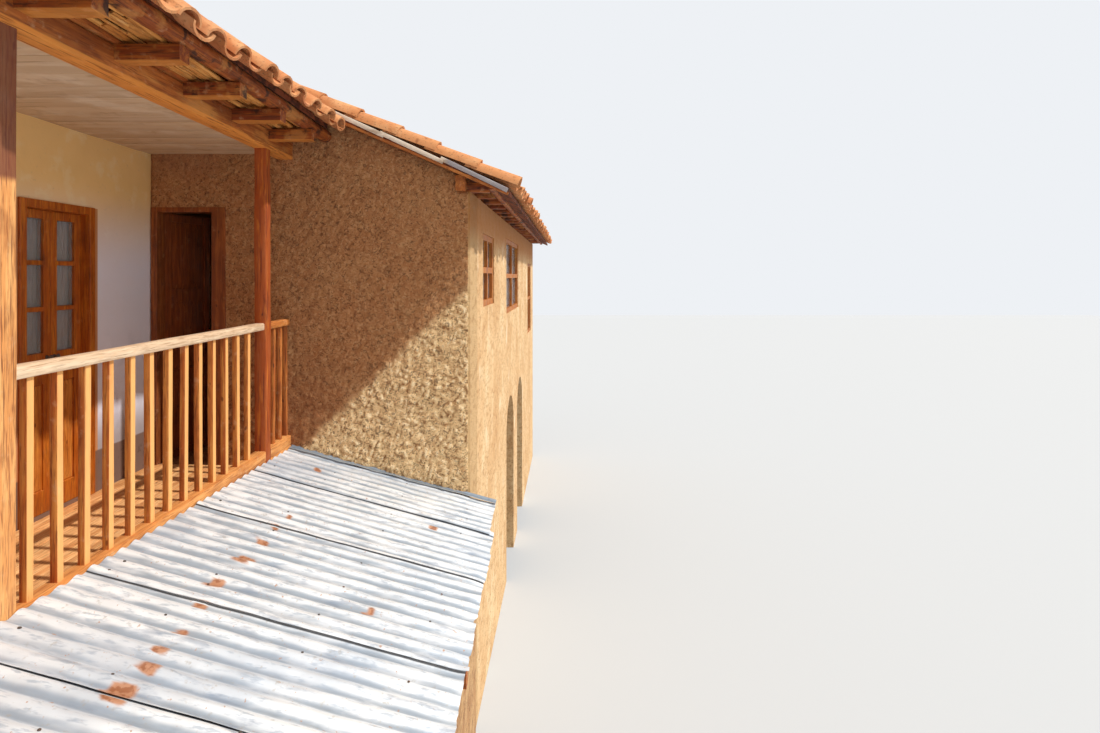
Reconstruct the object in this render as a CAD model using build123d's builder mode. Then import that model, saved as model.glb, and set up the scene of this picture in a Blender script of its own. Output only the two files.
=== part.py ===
from build123d import *
from math import atan2, ceil, cos, degrees, hypot, pi, radians, sin
import os

os.makedirs("parts", exist_ok=True)

# An adobe house with a timber gallery. x points to the court, y runs along the gallery and z goes up
# from the ground. The gallery wing lies about y = 0, and the wide wing stands past its far end.

# Walls and rooms, in millimetres
wall = 450
wing_wall = 400
room_width = 3500
floor_z = 2430
floor_depth = 150
# Gallery bays
bay = 2300
bays = 2
end_reach = 440
post = 90
walk_width = 1080
# Wide wing: how far it stands out past the gallery wall, its length and its lean in plan
wing_reach = 2657
wing_length = 8500
lean = 0.0592
# Gallery roof timbers
plate_clear = 2535
plate_width = 120
plate_depth = 140
notch_floor = 65
joist_width = 90
joist_depth = 80
joist_pitch = 567
joist_first = 426
tail_reach = 330
eave_log = 100
log_inset = 40
sole_width = 100
board = 20
# Roof
pitch = 0.43
bed = 40
# Tiles: the crest of the covers and the floor of the pans above the bed, and the covers' section
tile = 112
tile_floor = 28
tile_across = 260
cover_width = 176
cover_shoulder = 124
cover_shoulder_drop = 27
cover_crest = 40
# How far the tiles reach past the bed at the gallery's eave and at the other eave
bed_inset = 110
side_bed_inset = 60
eave_past_log = 170
roof_step = 120
verge = 150
back_overhang = 350
rafter_width = 80
rafter_depth = 100
rafter_pitch = 1050
ridge_board = 50
ridge_depth = 180
ridge_cap_reach = 150
ridge_cap_rise = 55
verge_row = 160
verge_rise = 20
verge_cover = 150
verge_board_width = 30
verge_board_depth = 25
# Eave of the wide wing
side_plate_width = 80
side_plate_inset = 32
side_plate_depth = 130
side_plate_end = 60
side_tail_depth = 80
side_tail_width = 90
side_tail_reach = 160
side_tail_pitch = 425
side_tail_first = 15
eave_batten = 50
side_overhang = 385
inner_plate = 90
# Gallery floor and railing
floor_board = 30
floor_joist_width = 80
floor_joist_depth = 140
floor_joist_pitch = 575
bearer_width = 100
bearer_depth = 150
ledger_width = 80
ledger_depth = 120
kerb = 200
sill_depth = 80
sill_width = 90
rail_top = 1214
rail_depth = 54
rail_width = 70
baluster = 35
baluster_first = 95
baluster_pitch = 159
end_balusters = 3
# Lean-to: its roof falls away from the gallery, and a little towards the end wall
lean_to_slope = 0.2747
lean_to_tilt = 0.042
lean_to_top = 2585
lean_to_reach = 1740
lean_to_wall = 300
lean_to_face = 2705
lean_to_rafter_width = 60
lean_to_rafter_depth = 90
lean_to_rafter_pitch = 1150
lean_to_purlin_width = 60
lean_to_purlin_depth = 50
sheet_cover = 760
sheet_gap = 2
sheet_wave = 98
sheet_rise = 18
sheet_gauge = 3
seat_gap = 0.1
flashing = 2
flashing_up = 95
flashing_out = 70
flashing_clear = 5
# Glazed double door in the gallery wall
french_y = 1752
french_width = 650
french_height = 2060
french_jamb = 54
french_depth = 125
french_setback = 55
french_stile = 56
french_lock_rail = 205
casing_proud = 15
leaf = 40
leaf_gap = 2
stile = 62
lock_rail = 110
bottom_rail = 150
pane_bar = 30
pane_rows = 3
pane_low = 1060
panel = 14
glass = 4
# Door in the end wall of the wide wing
end_door_offset = 10
end_door_width = 620
end_door_height = 2140
end_jamb = 50
end_lock_jamb = 118
end_head = 38
end_leaf_width = 500
end_frame_depth = 120
end_casing_proud = 20
hinge_lap = 2
hinge_plate = 3
hinge_width = 30
hinge_height = 90
door_open = 76
knob = 25
knob_seat = 4
# Windows of the side wall: start past the end wall's face, length, sill and head.
# The far window is placed from the far corner of the room.
side_windows = [(770, 850, 3700, 4415), (2910, 1830, 3500, 4500)]
far_window_corner = 290
far_window_length = 950
far_window_sill = 2850
far_window_head = 4250
window_frame = 60
window_depth = 70
window_setback = 15
# Arched openings low in the side wall
arch_width = 1000
arch_starts = [2910, 4510]
arch_spring = 1950
arch_rise = 380

# Places worked out from the sizes
half = bays * bay / 2 + end_reach
face = wall / 2
post_in = face + walk_width
post_out = post_in + post
south = -half - wall
wing_x = face + wing_reach
north = half + wing_length
north_in = north - wing_wall
back_in = -face - room_width
back_out = back_in - wall
ridge_x = -face - room_width / 2
fall = hypot(1, pitch)
plate_z = floor_z + plate_clear
joist_z = plate_z + notch_floor
joist_top = joist_z + joist_depth
tail_x = post_out + tail_reach
log_x = tail_x - log_inset
log_z = joist_top + eave_log / 2
log_under = log_z + eave_log / 2 * fall
gallery_eave = log_x + eave_past_log
rafter_drop = rafter_depth * fall
side_eave = wing_x + side_overhang
wide_start = half - verge
far_window_start = wing_length - wing_wall - far_window_corner - far_window_length
side_windows.append((far_window_start, far_window_length, far_window_sill, far_window_head))


def near_under(x):
    # underside of the bed: it falls from the ridge to both sides
    return log_under + pitch * (log_x - ridge_x - abs(x - ridge_x))


def wide_under(x):
    return near_under(x) + roof_step


side_plate_out = wing_x - side_plate_inset
side_plate_in = side_plate_out - side_plate_width
side_top = wide_under(side_plate_out) - side_plate_depth


def run(points, y_from, y_to, slant=0.0, mode=Mode.ADD, drop=0.0):
    # a section in x and z, carried along y: it may lean in plan with the wide wing, or drop on its way
    shift = slant * (y_from - half)
    lift = drop * (half - y_from)
    with BuildSketch(Plane.XZ.offset(-y_from)) as section:
        with BuildLine():
            Polyline(*[(x + shift, z + lift) for x, z in points], close=True)
        make_face()
    length = (y_to - y_from) * hypot(1, slant, drop)
    extrude(section.sketch, amount=length, dir=(slant, 1, -drop), mode=mode)


def block(x_from, x_to, y_from, y_to, z_from, z_to, slant=0.0, mode=Mode.ADD):
    run([(x_from, z_from), (x_to, z_from), (x_to, z_to), (x_from, z_to)], y_from, y_to, slant, mode)


def save(builder, name):
    builder.part.label = name
    export_step(builder.part, f"parts/{name}.step")


# Adobe walls
with BuildPart() as back_wall:
    for under, y_from, y_to, slant in (
        (near_under, -half, half, 0),
        (wide_under, half, north_in, lean),
    ):
        top_in = under(back_in) - rafter_drop
        top_out = under(back_out) - rafter_drop
        run([(back_out, 0), (back_in, 0), (back_in, top_in), (back_out, top_out)], y_from, y_to, slant)
save(back_wall, "back_wall")

with BuildPart() as south_gable_wall:
    outline = [
        (back_out, 0),
        (post_out, 0),
        (post_out, near_under(post_out)),
        (ridge_x, near_under(ridge_x)),
        (back_out, near_under(back_out)),
    ]
    run(outline, south, -half)
save(south_gable_wall, "south_gable_wall")

with BuildPart() as north_gable_wall:
    outline = [
        (back_out, 0),
        (wing_x, 0),
        (wing_x, side_top),
        (side_plate_in, side_top),
        (side_plate_in, wide_under(side_plate_in)),
        (ridge_x, wide_under(ridge_x)),
        (back_out, wide_under(back_out)),
    ]
    run(outline, north_in, north, lean)
save(north_gable_wall, "north_gable_wall")

french_from = french_y - french_width / 2
french_to = french_y + french_width / 2
french_top = floor_z + french_height
with BuildPart() as gallery_wall:
    top_court = near_under(face) - rafter_drop
    top_room = near_under(-face) - rafter_drop
    run([(-face, 0), (face, 0), (face, top_court), (-face, top_room)], -half, half)
    block(-face, face, french_from, french_to, floor_z, french_top, mode=Mode.SUBTRACT)
save(gallery_wall, "gallery_wall")

end_door_from = face + end_door_offset
end_door_to = end_door_from + end_door_width
end_door_top = floor_z + end_door_height
with BuildPart() as end_wall:
    outline = [
        (-face, 0),
        (wing_x, 0),
        (wing_x, side_top),
        (side_plate_in, side_top),
        (side_plate_in, wide_under(side_plate_in)),
        (-face, wide_under(-face)),
    ]
    run(outline, half, half + wing_wall, lean)
    through = half + 2 * wing_wall
    block(end_door_from, end_door_to, half - wing_wall, through, floor_z, end_door_top, mode=Mode.SUBTRACT)
save(end_wall, "end_wall")

wing_in = wing_x - wing_wall
with BuildPart() as side_wall_lower:
    block(wing_in, wing_x, half + wing_wall, north_in, 0, floor_z, lean)
    with BuildSketch(Plane.YZ.offset(wing_in - wing_wall)) as arches:
        for start in arch_starts:
            low = half + start
            high = low + arch_width
            with BuildLine():
                Line((low, 0), (low, arch_spring))
                ThreePointArc(
                    (low, arch_spring),
                    (low + arch_width / 2, arch_spring + arch_rise),
                    (high, arch_spring),
                )
                Polyline((high, arch_spring), (high, 0), (low, 0))
            make_face()
    extrude(arches.sketch, amount=3 * wing_wall + lean * wing_length, mode=Mode.SUBTRACT)
save(side_wall_lower, "side_wall_lower")

with BuildPart() as side_wall_upper:
    block(wing_in, wing_x, half + wing_wall, north_in, floor_z, side_top, lean)
    for start, length, low, high in side_windows:
        y_from = half + start
        block(wing_in, wing_x, y_from, y_from + length, low, high, lean, Mode.SUBTRACT)
save(side_wall_upper, "side_wall_upper")

# Floors of the upper rooms
with BuildPart() as near_room_floor:
    block(back_in, -face, -half, half, floor_z - floor_depth, floor_z)
save(near_room_floor, "near_room_floor")

with BuildPart() as wide_room_floor:
    block(back_in, -face, half, half + wing_wall, floor_z - floor_depth, floor_z, lean)
    block(back_in, wing_in, half + wing_wall, north_in, floor_z - floor_depth, floor_z, lean)
save(wide_room_floor, "wide_room_floor")

# Gallery floor
joist_under = floor_z - floor_board - floor_joist_depth
with BuildPart() as gallery_floor_beams:
    block(face, face + ledger_width, -half, half, joist_under - ledger_depth, joist_under)
    block(post_in - bearer_width, post_in, -half, half, joist_under - bearer_depth, joist_under)
save(gallery_floor_beams, "gallery_floor_beams")

floor_joists = ceil(2 * half / floor_joist_pitch) - 1
with BuildPart() as gallery_floor_joists:
    for number in range(floor_joists):
        middle = (number - (floor_joists - 1) / 2) * floor_joist_pitch + floor_joist_pitch / 2
        y_from = middle - floor_joist_width / 2
        reach = post_out if middle < half - floor_joist_width else post_in
        block(face, reach, y_from, y_from + floor_joist_width, joist_under, floor_z - floor_board)
save(gallery_floor_joists, "gallery_floor_joists")

with BuildPart() as gallery_floor_boards:
    block(face, post_in, -half, half, floor_z - floor_board, floor_z)
save(gallery_floor_boards, "gallery_floor_boards")

# Posts, with the kerb and the railing between them
post_centres = [(number - bays / 2) * bay for number in range(bays + 1)]
with BuildPart() as gallery_posts:
    for y in post_centres:
        block(post_in, post_out, y - post / 2, y + post / 2, 0, plate_z)
save(gallery_posts, "gallery_posts")

gaps = [(-half, post_centres[0] - post / 2)]
gaps += [(y + post / 2, y + bay - post / 2) for y in post_centres[:-1]]
gaps += [(post_centres[-1] + post / 2, half)]
kerb_z = floor_z - floor_board
sill_z = kerb_z + kerb
with BuildPart() as gallery_kerb:
    for y_from, y_to in gaps:
        block(post_in, post_out, y_from, y_to, kerb_z, sill_z)
save(gallery_kerb, "gallery_kerb")

rail_mid = post_in + post / 2


# In a short end the last baluster stands against the wall
bay_clear = bay - post
bay_count = int((bay_clear - baluster_first) / baluster_pitch)
bay_steps = [baluster_first + number * baluster_pitch for number in range(bay_count)]
end_clear = end_reach - post / 2
end_step = (end_clear - baluster / 2) / end_balusters
end_steps = [(number + 1) * end_step for number in range(end_balusters)]
spans = [(*gaps[0], [end_clear - step for step in end_steps])]
spans += [(*gap, bay_steps) for gap in gaps[1:-1]]
spans += [(*gaps[-1], end_steps)]
with BuildPart() as gallery_railing:
    rail_z = floor_z + rail_top
    rail_low = rail_z - rail_depth
    sill_top = sill_z + sill_depth
    side = baluster / 2
    for y_from, y_to, steps in spans:
        block(rail_mid - sill_width / 2, rail_mid + sill_width / 2, y_from, y_to, sill_z, sill_top)
        block(rail_mid - rail_width / 2, rail_mid + rail_width / 2, y_from, y_to, rail_low, rail_z)
        for step in steps:
            y = y_from + step
            block(rail_mid - side, rail_mid + side, y - side, y + side, sill_top, rail_low)
save(gallery_railing, "gallery_railing")

# Plate, ceiling joists with their tails, eave log and ceiling of the gallery
joist_count = int((2 * half - joist_first) / joist_pitch) + 1
joist_places = [half - joist_first - number * joist_pitch for number in range(joist_count)]
plate_in = rail_mid - plate_width / 2
plate_out = rail_mid + plate_width / 2
with BuildPart() as gallery_plate:
    block(plate_in, plate_out, -half, half, plate_z, plate_z + plate_depth)
    for y in joist_places:
        y_from = y - joist_width / 2
        top = plate_z + plate_depth
        block(plate_in, plate_out, y_from, y_from + joist_width, joist_z, top, mode=Mode.SUBTRACT)
save(gallery_plate, "gallery_plate")

with BuildPart() as ceiling_joists:
    for y in joist_places:
        block(face, tail_x, y - joist_width / 2, y + joist_width / 2, joist_z, joist_top)
save(ceiling_joists, "ceiling_joists")

with BuildPart() as gallery_soffit:
    block(face, plate_in, -half, half, joist_z - board, joist_z)
save(gallery_soffit, "gallery_soffit")

with BuildPart() as eave_purlin:
    with BuildSketch(Plane.XZ.offset(-south)) as log_section:
        with Locations((log_x, log_z)):
            Circle(eave_log / 2)
    extrude(log_section.sketch, amount=half - south, dir=(0, 1, 0))
save(eave_purlin, "eave_purlin")

rafter_end = plate_out + board
sole_in = rafter_end - sole_width
with BuildPart() as gallery_sole:
    top_in = near_under(sole_in) - rafter_drop
    top_out = near_under(rafter_end) - rafter_drop
    corners = [(sole_in, joist_top), (rafter_end, joist_top), (rafter_end, top_out), (sole_in, top_in)]
    run(corners, -half, half)
save(gallery_sole, "gallery_sole")

# Rafters in pairs against a ridge board
half_ridge = ridge_board / 2
rafter_back_end = back_out - back_overhang + 2 * board


def rafter_pair(under, y, slant, court_side):
    ridge_in = ridge_x - half_ridge
    back_side = [
        (ridge_in, under(ridge_in)),
        (rafter_back_end, under(rafter_back_end)),
        (rafter_back_end, under(rafter_back_end) - rafter_drop),
        (ridge_in, under(ridge_in) - rafter_drop),
    ]
    for side in (court_side, back_side):
        run(side, y - rafter_width / 2, y + rafter_width / 2, slant)


ridge_court = ridge_x + half_ridge
near_court_side = [
    (ridge_court, near_under(ridge_court)),
    (rafter_end, near_under(rafter_end)),
    (rafter_end, near_under(rafter_end) - rafter_drop),
    (ridge_court, near_under(ridge_court) - rafter_drop),
]
near_rafters_count = int(2 * (half - rafter_width) / rafter_pitch)
with BuildPart() as near_rafters:
    for number in range(near_rafters_count):
        y = (number - (near_rafters_count - 1) / 2) * rafter_pitch
        rafter_pair(near_under, y, 0, near_court_side)
save(near_rafters, "near_rafters")

inner_plate_in = wing_in + board
inner_plate_out = inner_plate_in + inner_plate
tail_top = side_top + side_tail_depth
foot_z = tail_top + inner_plate
seat_x = log_x + (log_under + roof_step - rafter_drop - foot_z) / pitch
wide_court_side = [
    (ridge_court, wide_under(ridge_court)),
    (inner_plate_out, wide_under(inner_plate_out)),
    (inner_plate_out, foot_z),
    (seat_x, foot_z),
    (ridge_court, wide_under(ridge_court) - rafter_drop),
]
wide_rafters_from = half + wing_wall + 2 * rafter_width
wide_rafters_count = int((north_in - wide_rafters_from - rafter_width) / rafter_pitch) + 1
with BuildPart() as wide_rafters:
    for number in range(wide_rafters_count):
        rafter_pair(wide_under, wide_rafters_from + number * rafter_pitch, lean, wide_court_side)
save(wide_rafters, "wide_rafters")

with BuildPart() as ridge_boards:
    for under, y_from, y_to, slant in (
        (near_under, -half, wide_start, 0),
        (wide_under, wide_start, north_in, lean),
    ):
        top = under(ridge_court)
        block(ridge_x - half_ridge, ridge_court, y_from, y_to, top - ridge_depth, top, slant)
save(ridge_boards, "ridge_boards")

# Roof bed and tiles, each wing on its own: the wide wing's roof stands a step higher.
# The tiles are one solid a wing, with a rib down the slope for each column of covers.
near_ends = (south - verge, wide_start)
wide_ends = (wide_start, north + verge)


def roof_layer(under, court_x, back_x, low, high, ends, slant):
    corners = [
        (court_x, under(court_x) + low),
        (court_x, under(court_x) + high),
        (ridge_x, under(ridge_x) + high),
        (back_x, under(back_x) + high),
        (back_x, under(back_x) + low),
        (ridge_x, under(ridge_x) + low),
    ]
    run(corners, ends[0], ends[1], slant)


def tile_slopes(under, court_x, ends, slant, middles, cover, rise=0):
    # one section of pans and covers along the ridge, carried down both sides
    along = hypot(1, slant)
    top = tile + rise
    outline = [(ends[0], 0), (ends[0], tile_floor)]
    for middle in middles:
        outline += [
            (middle - cover / 2, tile_floor),
            (middle - cover_shoulder / 2, top - cover_shoulder_drop),
            (middle - cover_crest / 2, top),
            (middle + cover_crest / 2, top),
            (middle + cover_shoulder / 2, top - cover_shoulder_drop),
            (middle + cover / 2, tile_floor),
        ]
    outline += [(ends[1], tile_floor), (ends[1], 0)]
    origin = (ridge_x, half, under(ridge_x) + bed)
    ridge_plane = Plane(origin=origin, x_dir=(slant, 1, 0), z_dir=(1, -slant, 0))
    with BuildSketch(ridge_plane) as section:
        with BuildLine():
            Polyline(*[((y - half) * along, z) for y, z in outline], close=True)
        make_face()
    for side, length in ((1, court_x - ridge_x), (-1, ridge_x - back_eave)):
        extrude(section.sketch, amount=length * fall, dir=(side, 0, -pitch))


def column_middles(ends):
    count = round((ends[1] - ends[0]) / tile_across)
    return [ends[0] + (number + 0.5) * (ends[1] - ends[0]) / count for number in range(count)]


back_eave = back_out - back_overhang
with BuildPart() as near_roof_bed:
    roof_layer(near_under, gallery_eave - bed_inset, back_eave + board, 0, bed, near_ends, 0)
save(near_roof_bed, "near_roof_bed")

with BuildPart() as wide_roof_bed:
    roof_layer(wide_under, side_eave - side_bed_inset, back_eave + board, 0, bed, wide_ends, lean)
save(wide_roof_bed, "wide_roof_bed")

with BuildPart() as near_roof_tiles:
    tile_slopes(near_under, gallery_eave, near_ends, 0, column_middles(near_ends), cover_width)
save(near_roof_tiles, "near_roof_tiles")

field_ends = (wide_start + verge_row, wide_ends[1])
with BuildPart() as wide_roof_tiles:
    tile_slopes(wide_under, side_eave, field_ends, lean, column_middles(field_ends), cover_width)
save(wide_roof_tiles, "wide_roof_tiles")

with BuildPart() as verge_tiles:
    row_ends = (wide_start, wide_start + verge_row)
    row_middle = [wide_start + verge_row / 2]
    tile_slopes(wide_under, side_eave, row_ends, lean, row_middle, verge_cover, verge_rise)
save(verge_tiles, "verge_tiles")

with BuildPart() as verge_board:
    start = log_x + eave_log
    stop = side_eave - side_bed_inset
    corners = [
        (start, wide_under(start)),
        (stop, wide_under(stop)),
        (stop, wide_under(stop) - verge_board_depth),
        (start, wide_under(start) - verge_board_depth),
    ]
    run(corners, wide_start, wide_start + verge_board_width, lean)
save(verge_board, "verge_board")

with BuildPart() as ridge_tiles:
    for under, ends, slant in ((near_under, near_ends, 0), (wide_under, field_ends, lean)):
        top = under(ridge_x) + bed + tile
        edge = top - pitch * ridge_cap_reach
        corners = [
            (ridge_x - ridge_cap_reach, edge),
            (ridge_x, top),
            (ridge_x + ridge_cap_reach, edge),
            (ridge_x + ridge_cap_reach / 2, top + ridge_cap_rise / 2),
            (ridge_x, top + ridge_cap_rise),
            (ridge_x - ridge_cap_reach / 2, top + ridge_cap_rise / 2),
        ]
        run(corners, ends[0], ends[1], slant)
save(ridge_tiles, "ridge_tiles")

# Eave of the wide wing: a trenched plate over short joists, with a batten on their ends
tail_ends = (wing_in, wing_x + side_tail_reach)
tail_break = log_x + (log_under + roof_step - tail_top) / pitch
tail_count = int((north - half - side_tail_first - side_tail_width) / side_tail_pitch) + 1
tail_places = [half + side_tail_first + number * side_tail_pitch for number in range(tail_count)]
tail_outline = [
    (tail_ends[0], side_top),
    (tail_ends[1], side_top),
    (tail_ends[1], wide_under(tail_ends[1])),
    (tail_break, tail_top),
    (tail_ends[0], tail_top),
]
with BuildPart() as side_tails:
    for y in tail_places:
        within_walls = half + wing_wall < y < north_in - side_tail_width
        inner = tail_ends[0] if within_walls else side_plate_in
        corners = [(inner, side_top)] + tail_outline[1:4] + [(inner, tail_top)]
        run(corners, y, y + side_tail_width, lean)
save(side_tails, "side_tails")

plate_section = [
    (side_plate_in, side_top),
    (side_plate_out, side_top),
    (side_plate_out, wide_under(side_plate_out)),
    (side_plate_in, wide_under(side_plate_in)),
]
with BuildPart() as side_plates:
    run(plate_section, half - side_plate_end, north, lean)
    for y in tail_places:
        y_to = y + side_tail_width
        block(side_plate_in, side_plate_out, y, y_to, side_top, tail_top, lean, Mode.SUBTRACT)
    block(inner_plate_in, inner_plate_out, half + wing_wall, north_in, tail_top, foot_z, lean)
save(side_plates, "side_plates")

with BuildPart() as side_eave_batten:
    outer = tail_ends[1] + eave_batten
    corners = [
        (tail_ends[1], side_top),
        (outer, side_top),
        (outer, wide_under(outer)),
        (tail_ends[1], wide_under(tail_ends[1])),
    ]
    run(corners, wide_start + verge_board_width, north + verge, lean)
save(side_eave_batten, "side_eave_batten")

# Lean-to below the gallery: wall, rafters, purlins, corrugated sheets and flashing
lean_fall = hypot(1, lean_to_slope)
sheet_under = sheet_rise + sheet_gauge
sheet_edge = lean_to_top - sheet_under * lean_fall


def purlin_top(x):
    return sheet_edge - lean_to_slope * (x - post_out)


def rafter_top(x):
    return purlin_top(x) - lean_to_purlin_depth * lean_fall


def lean_to_wall_top(x):
    return rafter_top(x) - lean_to_rafter_depth * lean_fall


lean_out = face + lean_to_face
lean_in = lean_out - lean_to_wall
with BuildPart() as lean_to_walls:
    rough_top = lean_to_top + lean_to_tilt * (half - south)
    block(lean_in, lean_out, south, half, 0, rough_top)
    block(post_out, lean_in, south, -half, 0, rough_top)
    above = [
        (post_out, lean_to_wall_top(post_out)),
        (lean_out, lean_to_wall_top(lean_out)),
        (lean_out, rough_top),
        (post_out, rough_top),
    ]
    run(above, south, half, mode=Mode.SUBTRACT, drop=lean_to_tilt)
save(lean_to_walls, "lean_to_walls")

lean_to_eave = post_out + lean_to_reach
lean_rafter_end = lean_to_eave - 2 * board
lean_rafters = int(2 * half / lean_to_rafter_pitch)
with BuildPart() as lean_to_rafters:
    corners = [
        (post_out, rafter_top(post_out)),
        (lean_rafter_end, rafter_top(lean_rafter_end)),
        (lean_rafter_end, lean_to_wall_top(lean_rafter_end)),
        (post_out, lean_to_wall_top(post_out)),
    ]
    for number in range(lean_rafters):
        middle = (number - (lean_rafters - 1) / 2) * lean_to_rafter_pitch
        y_from = middle - lean_to_rafter_width / 2
        run(corners, y_from, y_from + lean_to_rafter_width, drop=lean_to_tilt)
save(lean_to_rafters, "lean_to_rafters")

purlin_starts = [
    post_out + board,
    (post_out + lean_in) / 2,
    lean_out - lean_to_purlin_width,
]
with BuildPart() as lean_to_purlins:
    for x in purlin_starts:
        far = x + lean_to_purlin_width
        corners = [(x, rafter_top(x)), (far, rafter_top(far)), (far, purlin_top(far)), (x, purlin_top(x))]
        run(corners, south, half, drop=lean_to_tilt)
save(lean_to_purlins, "lean_to_purlins")

slope_angle = atan2(lean_to_slope, 1)
slope_dir = Vector(cos(slope_angle), 0, -sin(slope_angle))
eave_dir = Vector(0, 1, -lean_to_tilt)
sheet_across = eave_dir.cross(slope_dir.cross(eave_dir))
sheet_plane = Plane(origin=(post_out, half, sheet_edge), x_dir=eave_dir, z_dir=sheet_across)
sheet_length = lean_to_reach * lean_fall
sheet_count = round((half - south) / sheet_cover)
sheet_width = (half - south) / sheet_count
wave_steps = 4
wave_count = round(sheet_width / sheet_wave)


def wave(start, lift):
    # the places are measured back from the end wall, along the tilted eave
    points = []
    for step in range(wave_count * wave_steps + 1):
        along = (sheet_width - sheet_gap) * step / (wave_count * wave_steps)
        rise = (1 - cos(2 * pi * step / wave_steps)) / 2 * sheet_rise
        points.append(((start + along - half) * hypot(1, lean_to_tilt), seat_gap + lift + rise))
    return points


with BuildPart() as corrugated_sheets:
    for number in range(sheet_count):
        start = south + number * sheet_width
        with BuildSketch(sheet_plane) as sheet_section:
            with BuildLine():
                low_wave = wave(start, 0)
                high_wave = wave(start, sheet_gauge)
                Spline(*low_wave)
                Spline(*high_wave)
                Line(low_wave[0], high_wave[0])
                Line(low_wave[-1], high_wave[-1])
            make_face()
        extrude(sheet_section.sketch, amount=sheet_length, dir=slope_dir)
save(corrugated_sheets, "corrugated_sheets")

with BuildPart() as wall_flashing:
    with BuildSketch(sheet_plane) as flashing_section:
        with BuildLine():
            low = sheet_under + 2 * seat_gap
            Polyline(
                (-flashing_clear, low),
                (-flashing_clear, low + flashing_up),
                (-flashing_clear - flashing, low + flashing_up),
                (-flashing_clear - flashing, low + flashing),
                (-flashing_clear - flashing_out, low + flashing),
                (-flashing_clear - flashing_out, low),
                close=True,
            )
        make_face()
    extrude(flashing_section.sketch, amount=sheet_length - 2 * board, dir=slope_dir)
save(wall_flashing, "wall_flashing")

# Glazed double door of the gallery wall
french_front = face + casing_proud
french_back = french_front - french_depth
leaf_low = floor_z + leaf_gap
leaf_high = french_top - french_jamb - leaf_gap
with BuildPart() as french_door_frame:
    block(french_back, french_front, french_from, french_to, floor_z, french_top)
    inner_from = french_from + french_jamb
    inner_to = french_to - french_jamb
    inner_top = french_top - french_jamb
    block(french_back, french_front, inner_from, inner_to, floor_z, inner_top, mode=Mode.SUBTRACT)
save(french_door_frame, "french_door_frame")

leaf_front = face - french_setback
leaf_back = leaf_front - leaf
leaf_width = (french_width - 2 * french_jamb - leaf_gap) / 2
leaf_starts = [inner_from, inner_from + leaf_width + leaf_gap]
pane_zone = leaf_high - french_stile - (floor_z + pane_low)
pane_height = (pane_zone - (pane_rows - 1) * pane_bar) / pane_rows
pane_floors = [floor_z + pane_low + row * (pane_height + pane_bar) for row in range(pane_rows)]
panel_low = leaf_low + bottom_rail
panel_high = floor_z + pane_low - french_lock_rail
panel_back = (leaf_front + leaf_back - panel) / 2
with BuildPart() as french_door_leaves:
    for y_from in leaf_starts:
        y_to = y_from + leaf_width
        block(leaf_back, leaf_front, y_from, y_to, leaf_low, leaf_high)
        for low in pane_floors:
            block(
                leaf_back, leaf_front, y_from + french_stile, y_to - french_stile, low, low + pane_height,
                mode=Mode.SUBTRACT,
            )
        for low, high in ((leaf_back, panel_back), (panel_back + panel, leaf_front)):
            block(
                low, high, y_from + french_stile, y_to - french_stile, panel_low, panel_high,
                mode=Mode.SUBTRACT,
            )
save(french_door_leaves, "french_door_leaves")

glass_back = (leaf_front + leaf_back - glass) / 2
with BuildPart() as french_door_glass:
    for y_from in leaf_starts:
        for low in pane_floors:
            block(
                glass_back, glass_back + glass, y_from + french_stile, y_from + leaf_width - french_stile,
                low, low + pane_height,
            )
save(french_door_glass, "french_door_glass")

# Panelled door of the end wall, standing open into the room behind the frame's hinge side
end_front = half - end_casing_proud
end_back = end_front + end_frame_depth
with BuildPart() as end_door_frame:
    block(end_door_from, end_door_to, end_front, end_back, floor_z, end_door_top)
    block(
        end_door_from + end_jamb, end_door_to - end_lock_jamb, end_front, end_back,
        floor_z, end_door_top - end_head, mode=Mode.SUBTRACT,
    )
save(end_door_frame, "end_door_frame")

end_leaf_high = end_door_top - end_head - leaf_gap
hinge_x = end_door_from + end_jamb - hinge_lap
end_panels = 3
end_panel_zone = end_leaf_high - leaf_low - 2 * stile - (end_panels - 1) * lock_rail
end_panel_height = end_panel_zone / end_panels
open_angle = radians(door_open)


def door_plane(z):
    # along the open leaf and across it, from the hinge's corner
    return Plane(origin=(hinge_x, end_back, z), x_dir=(cos(open_angle), sin(open_angle), 0), z_dir=(0, 0, 1))


def door_block(along, across, z_from, z_to, mode=Mode.ADD):
    with BuildSketch(door_plane(z_from)) as section:
        with BuildLine():
            Polyline(
                (along[0], across[0]), (along[1], across[0]), (along[1], across[1]), (along[0], across[1]),
                close=True,
            )
        make_face()
    extrude(section.sketch, amount=z_to - z_from, mode=mode)


with BuildPart() as end_door_leaf:
    door_block((0, end_leaf_width), (0, leaf), leaf_low, end_leaf_high)
    recess = (leaf - panel) / 2
    for number in range(end_panels):
        low = leaf_low + stile + number * (end_panel_height + lock_rail)
        for across in ((0, recess), (leaf - recess, leaf)):
            door_block((stile, end_leaf_width - stile), across, low, low + end_panel_height, Mode.SUBTRACT)
    for low in (leaf_low + hinge_height, end_leaf_high - 2 * hinge_height):
        block(hinge_x - hinge_width, hinge_x, end_back, end_back + hinge_plate, low, low + hinge_height)
    with Locations(door_plane(floor_z + pane_low).location):
        with Locations((end_leaf_width - stile / 2, knob_seat - knob, 0)):
            Sphere(knob)
save(end_door_leaf, "end_door_leaf")

# Windows of the side wall: a frame with one mullion and one transom, and its panes
frame_out = wing_x - window_setback
frame_in = frame_out - window_depth
pane_in = (frame_in + frame_out - glass) / 2


def lights(y_from, length, low, high):
    light_length = (length - 3 * window_frame) / 2
    light_height = (high - low - 3 * window_frame) / 2
    for column in range(2):
        for row in range(2):
            y = y_from + window_frame + column * (light_length + window_frame)
            z = low + window_frame + row * (light_height + window_frame)
            yield y, y + light_length, z, z + light_height


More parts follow.
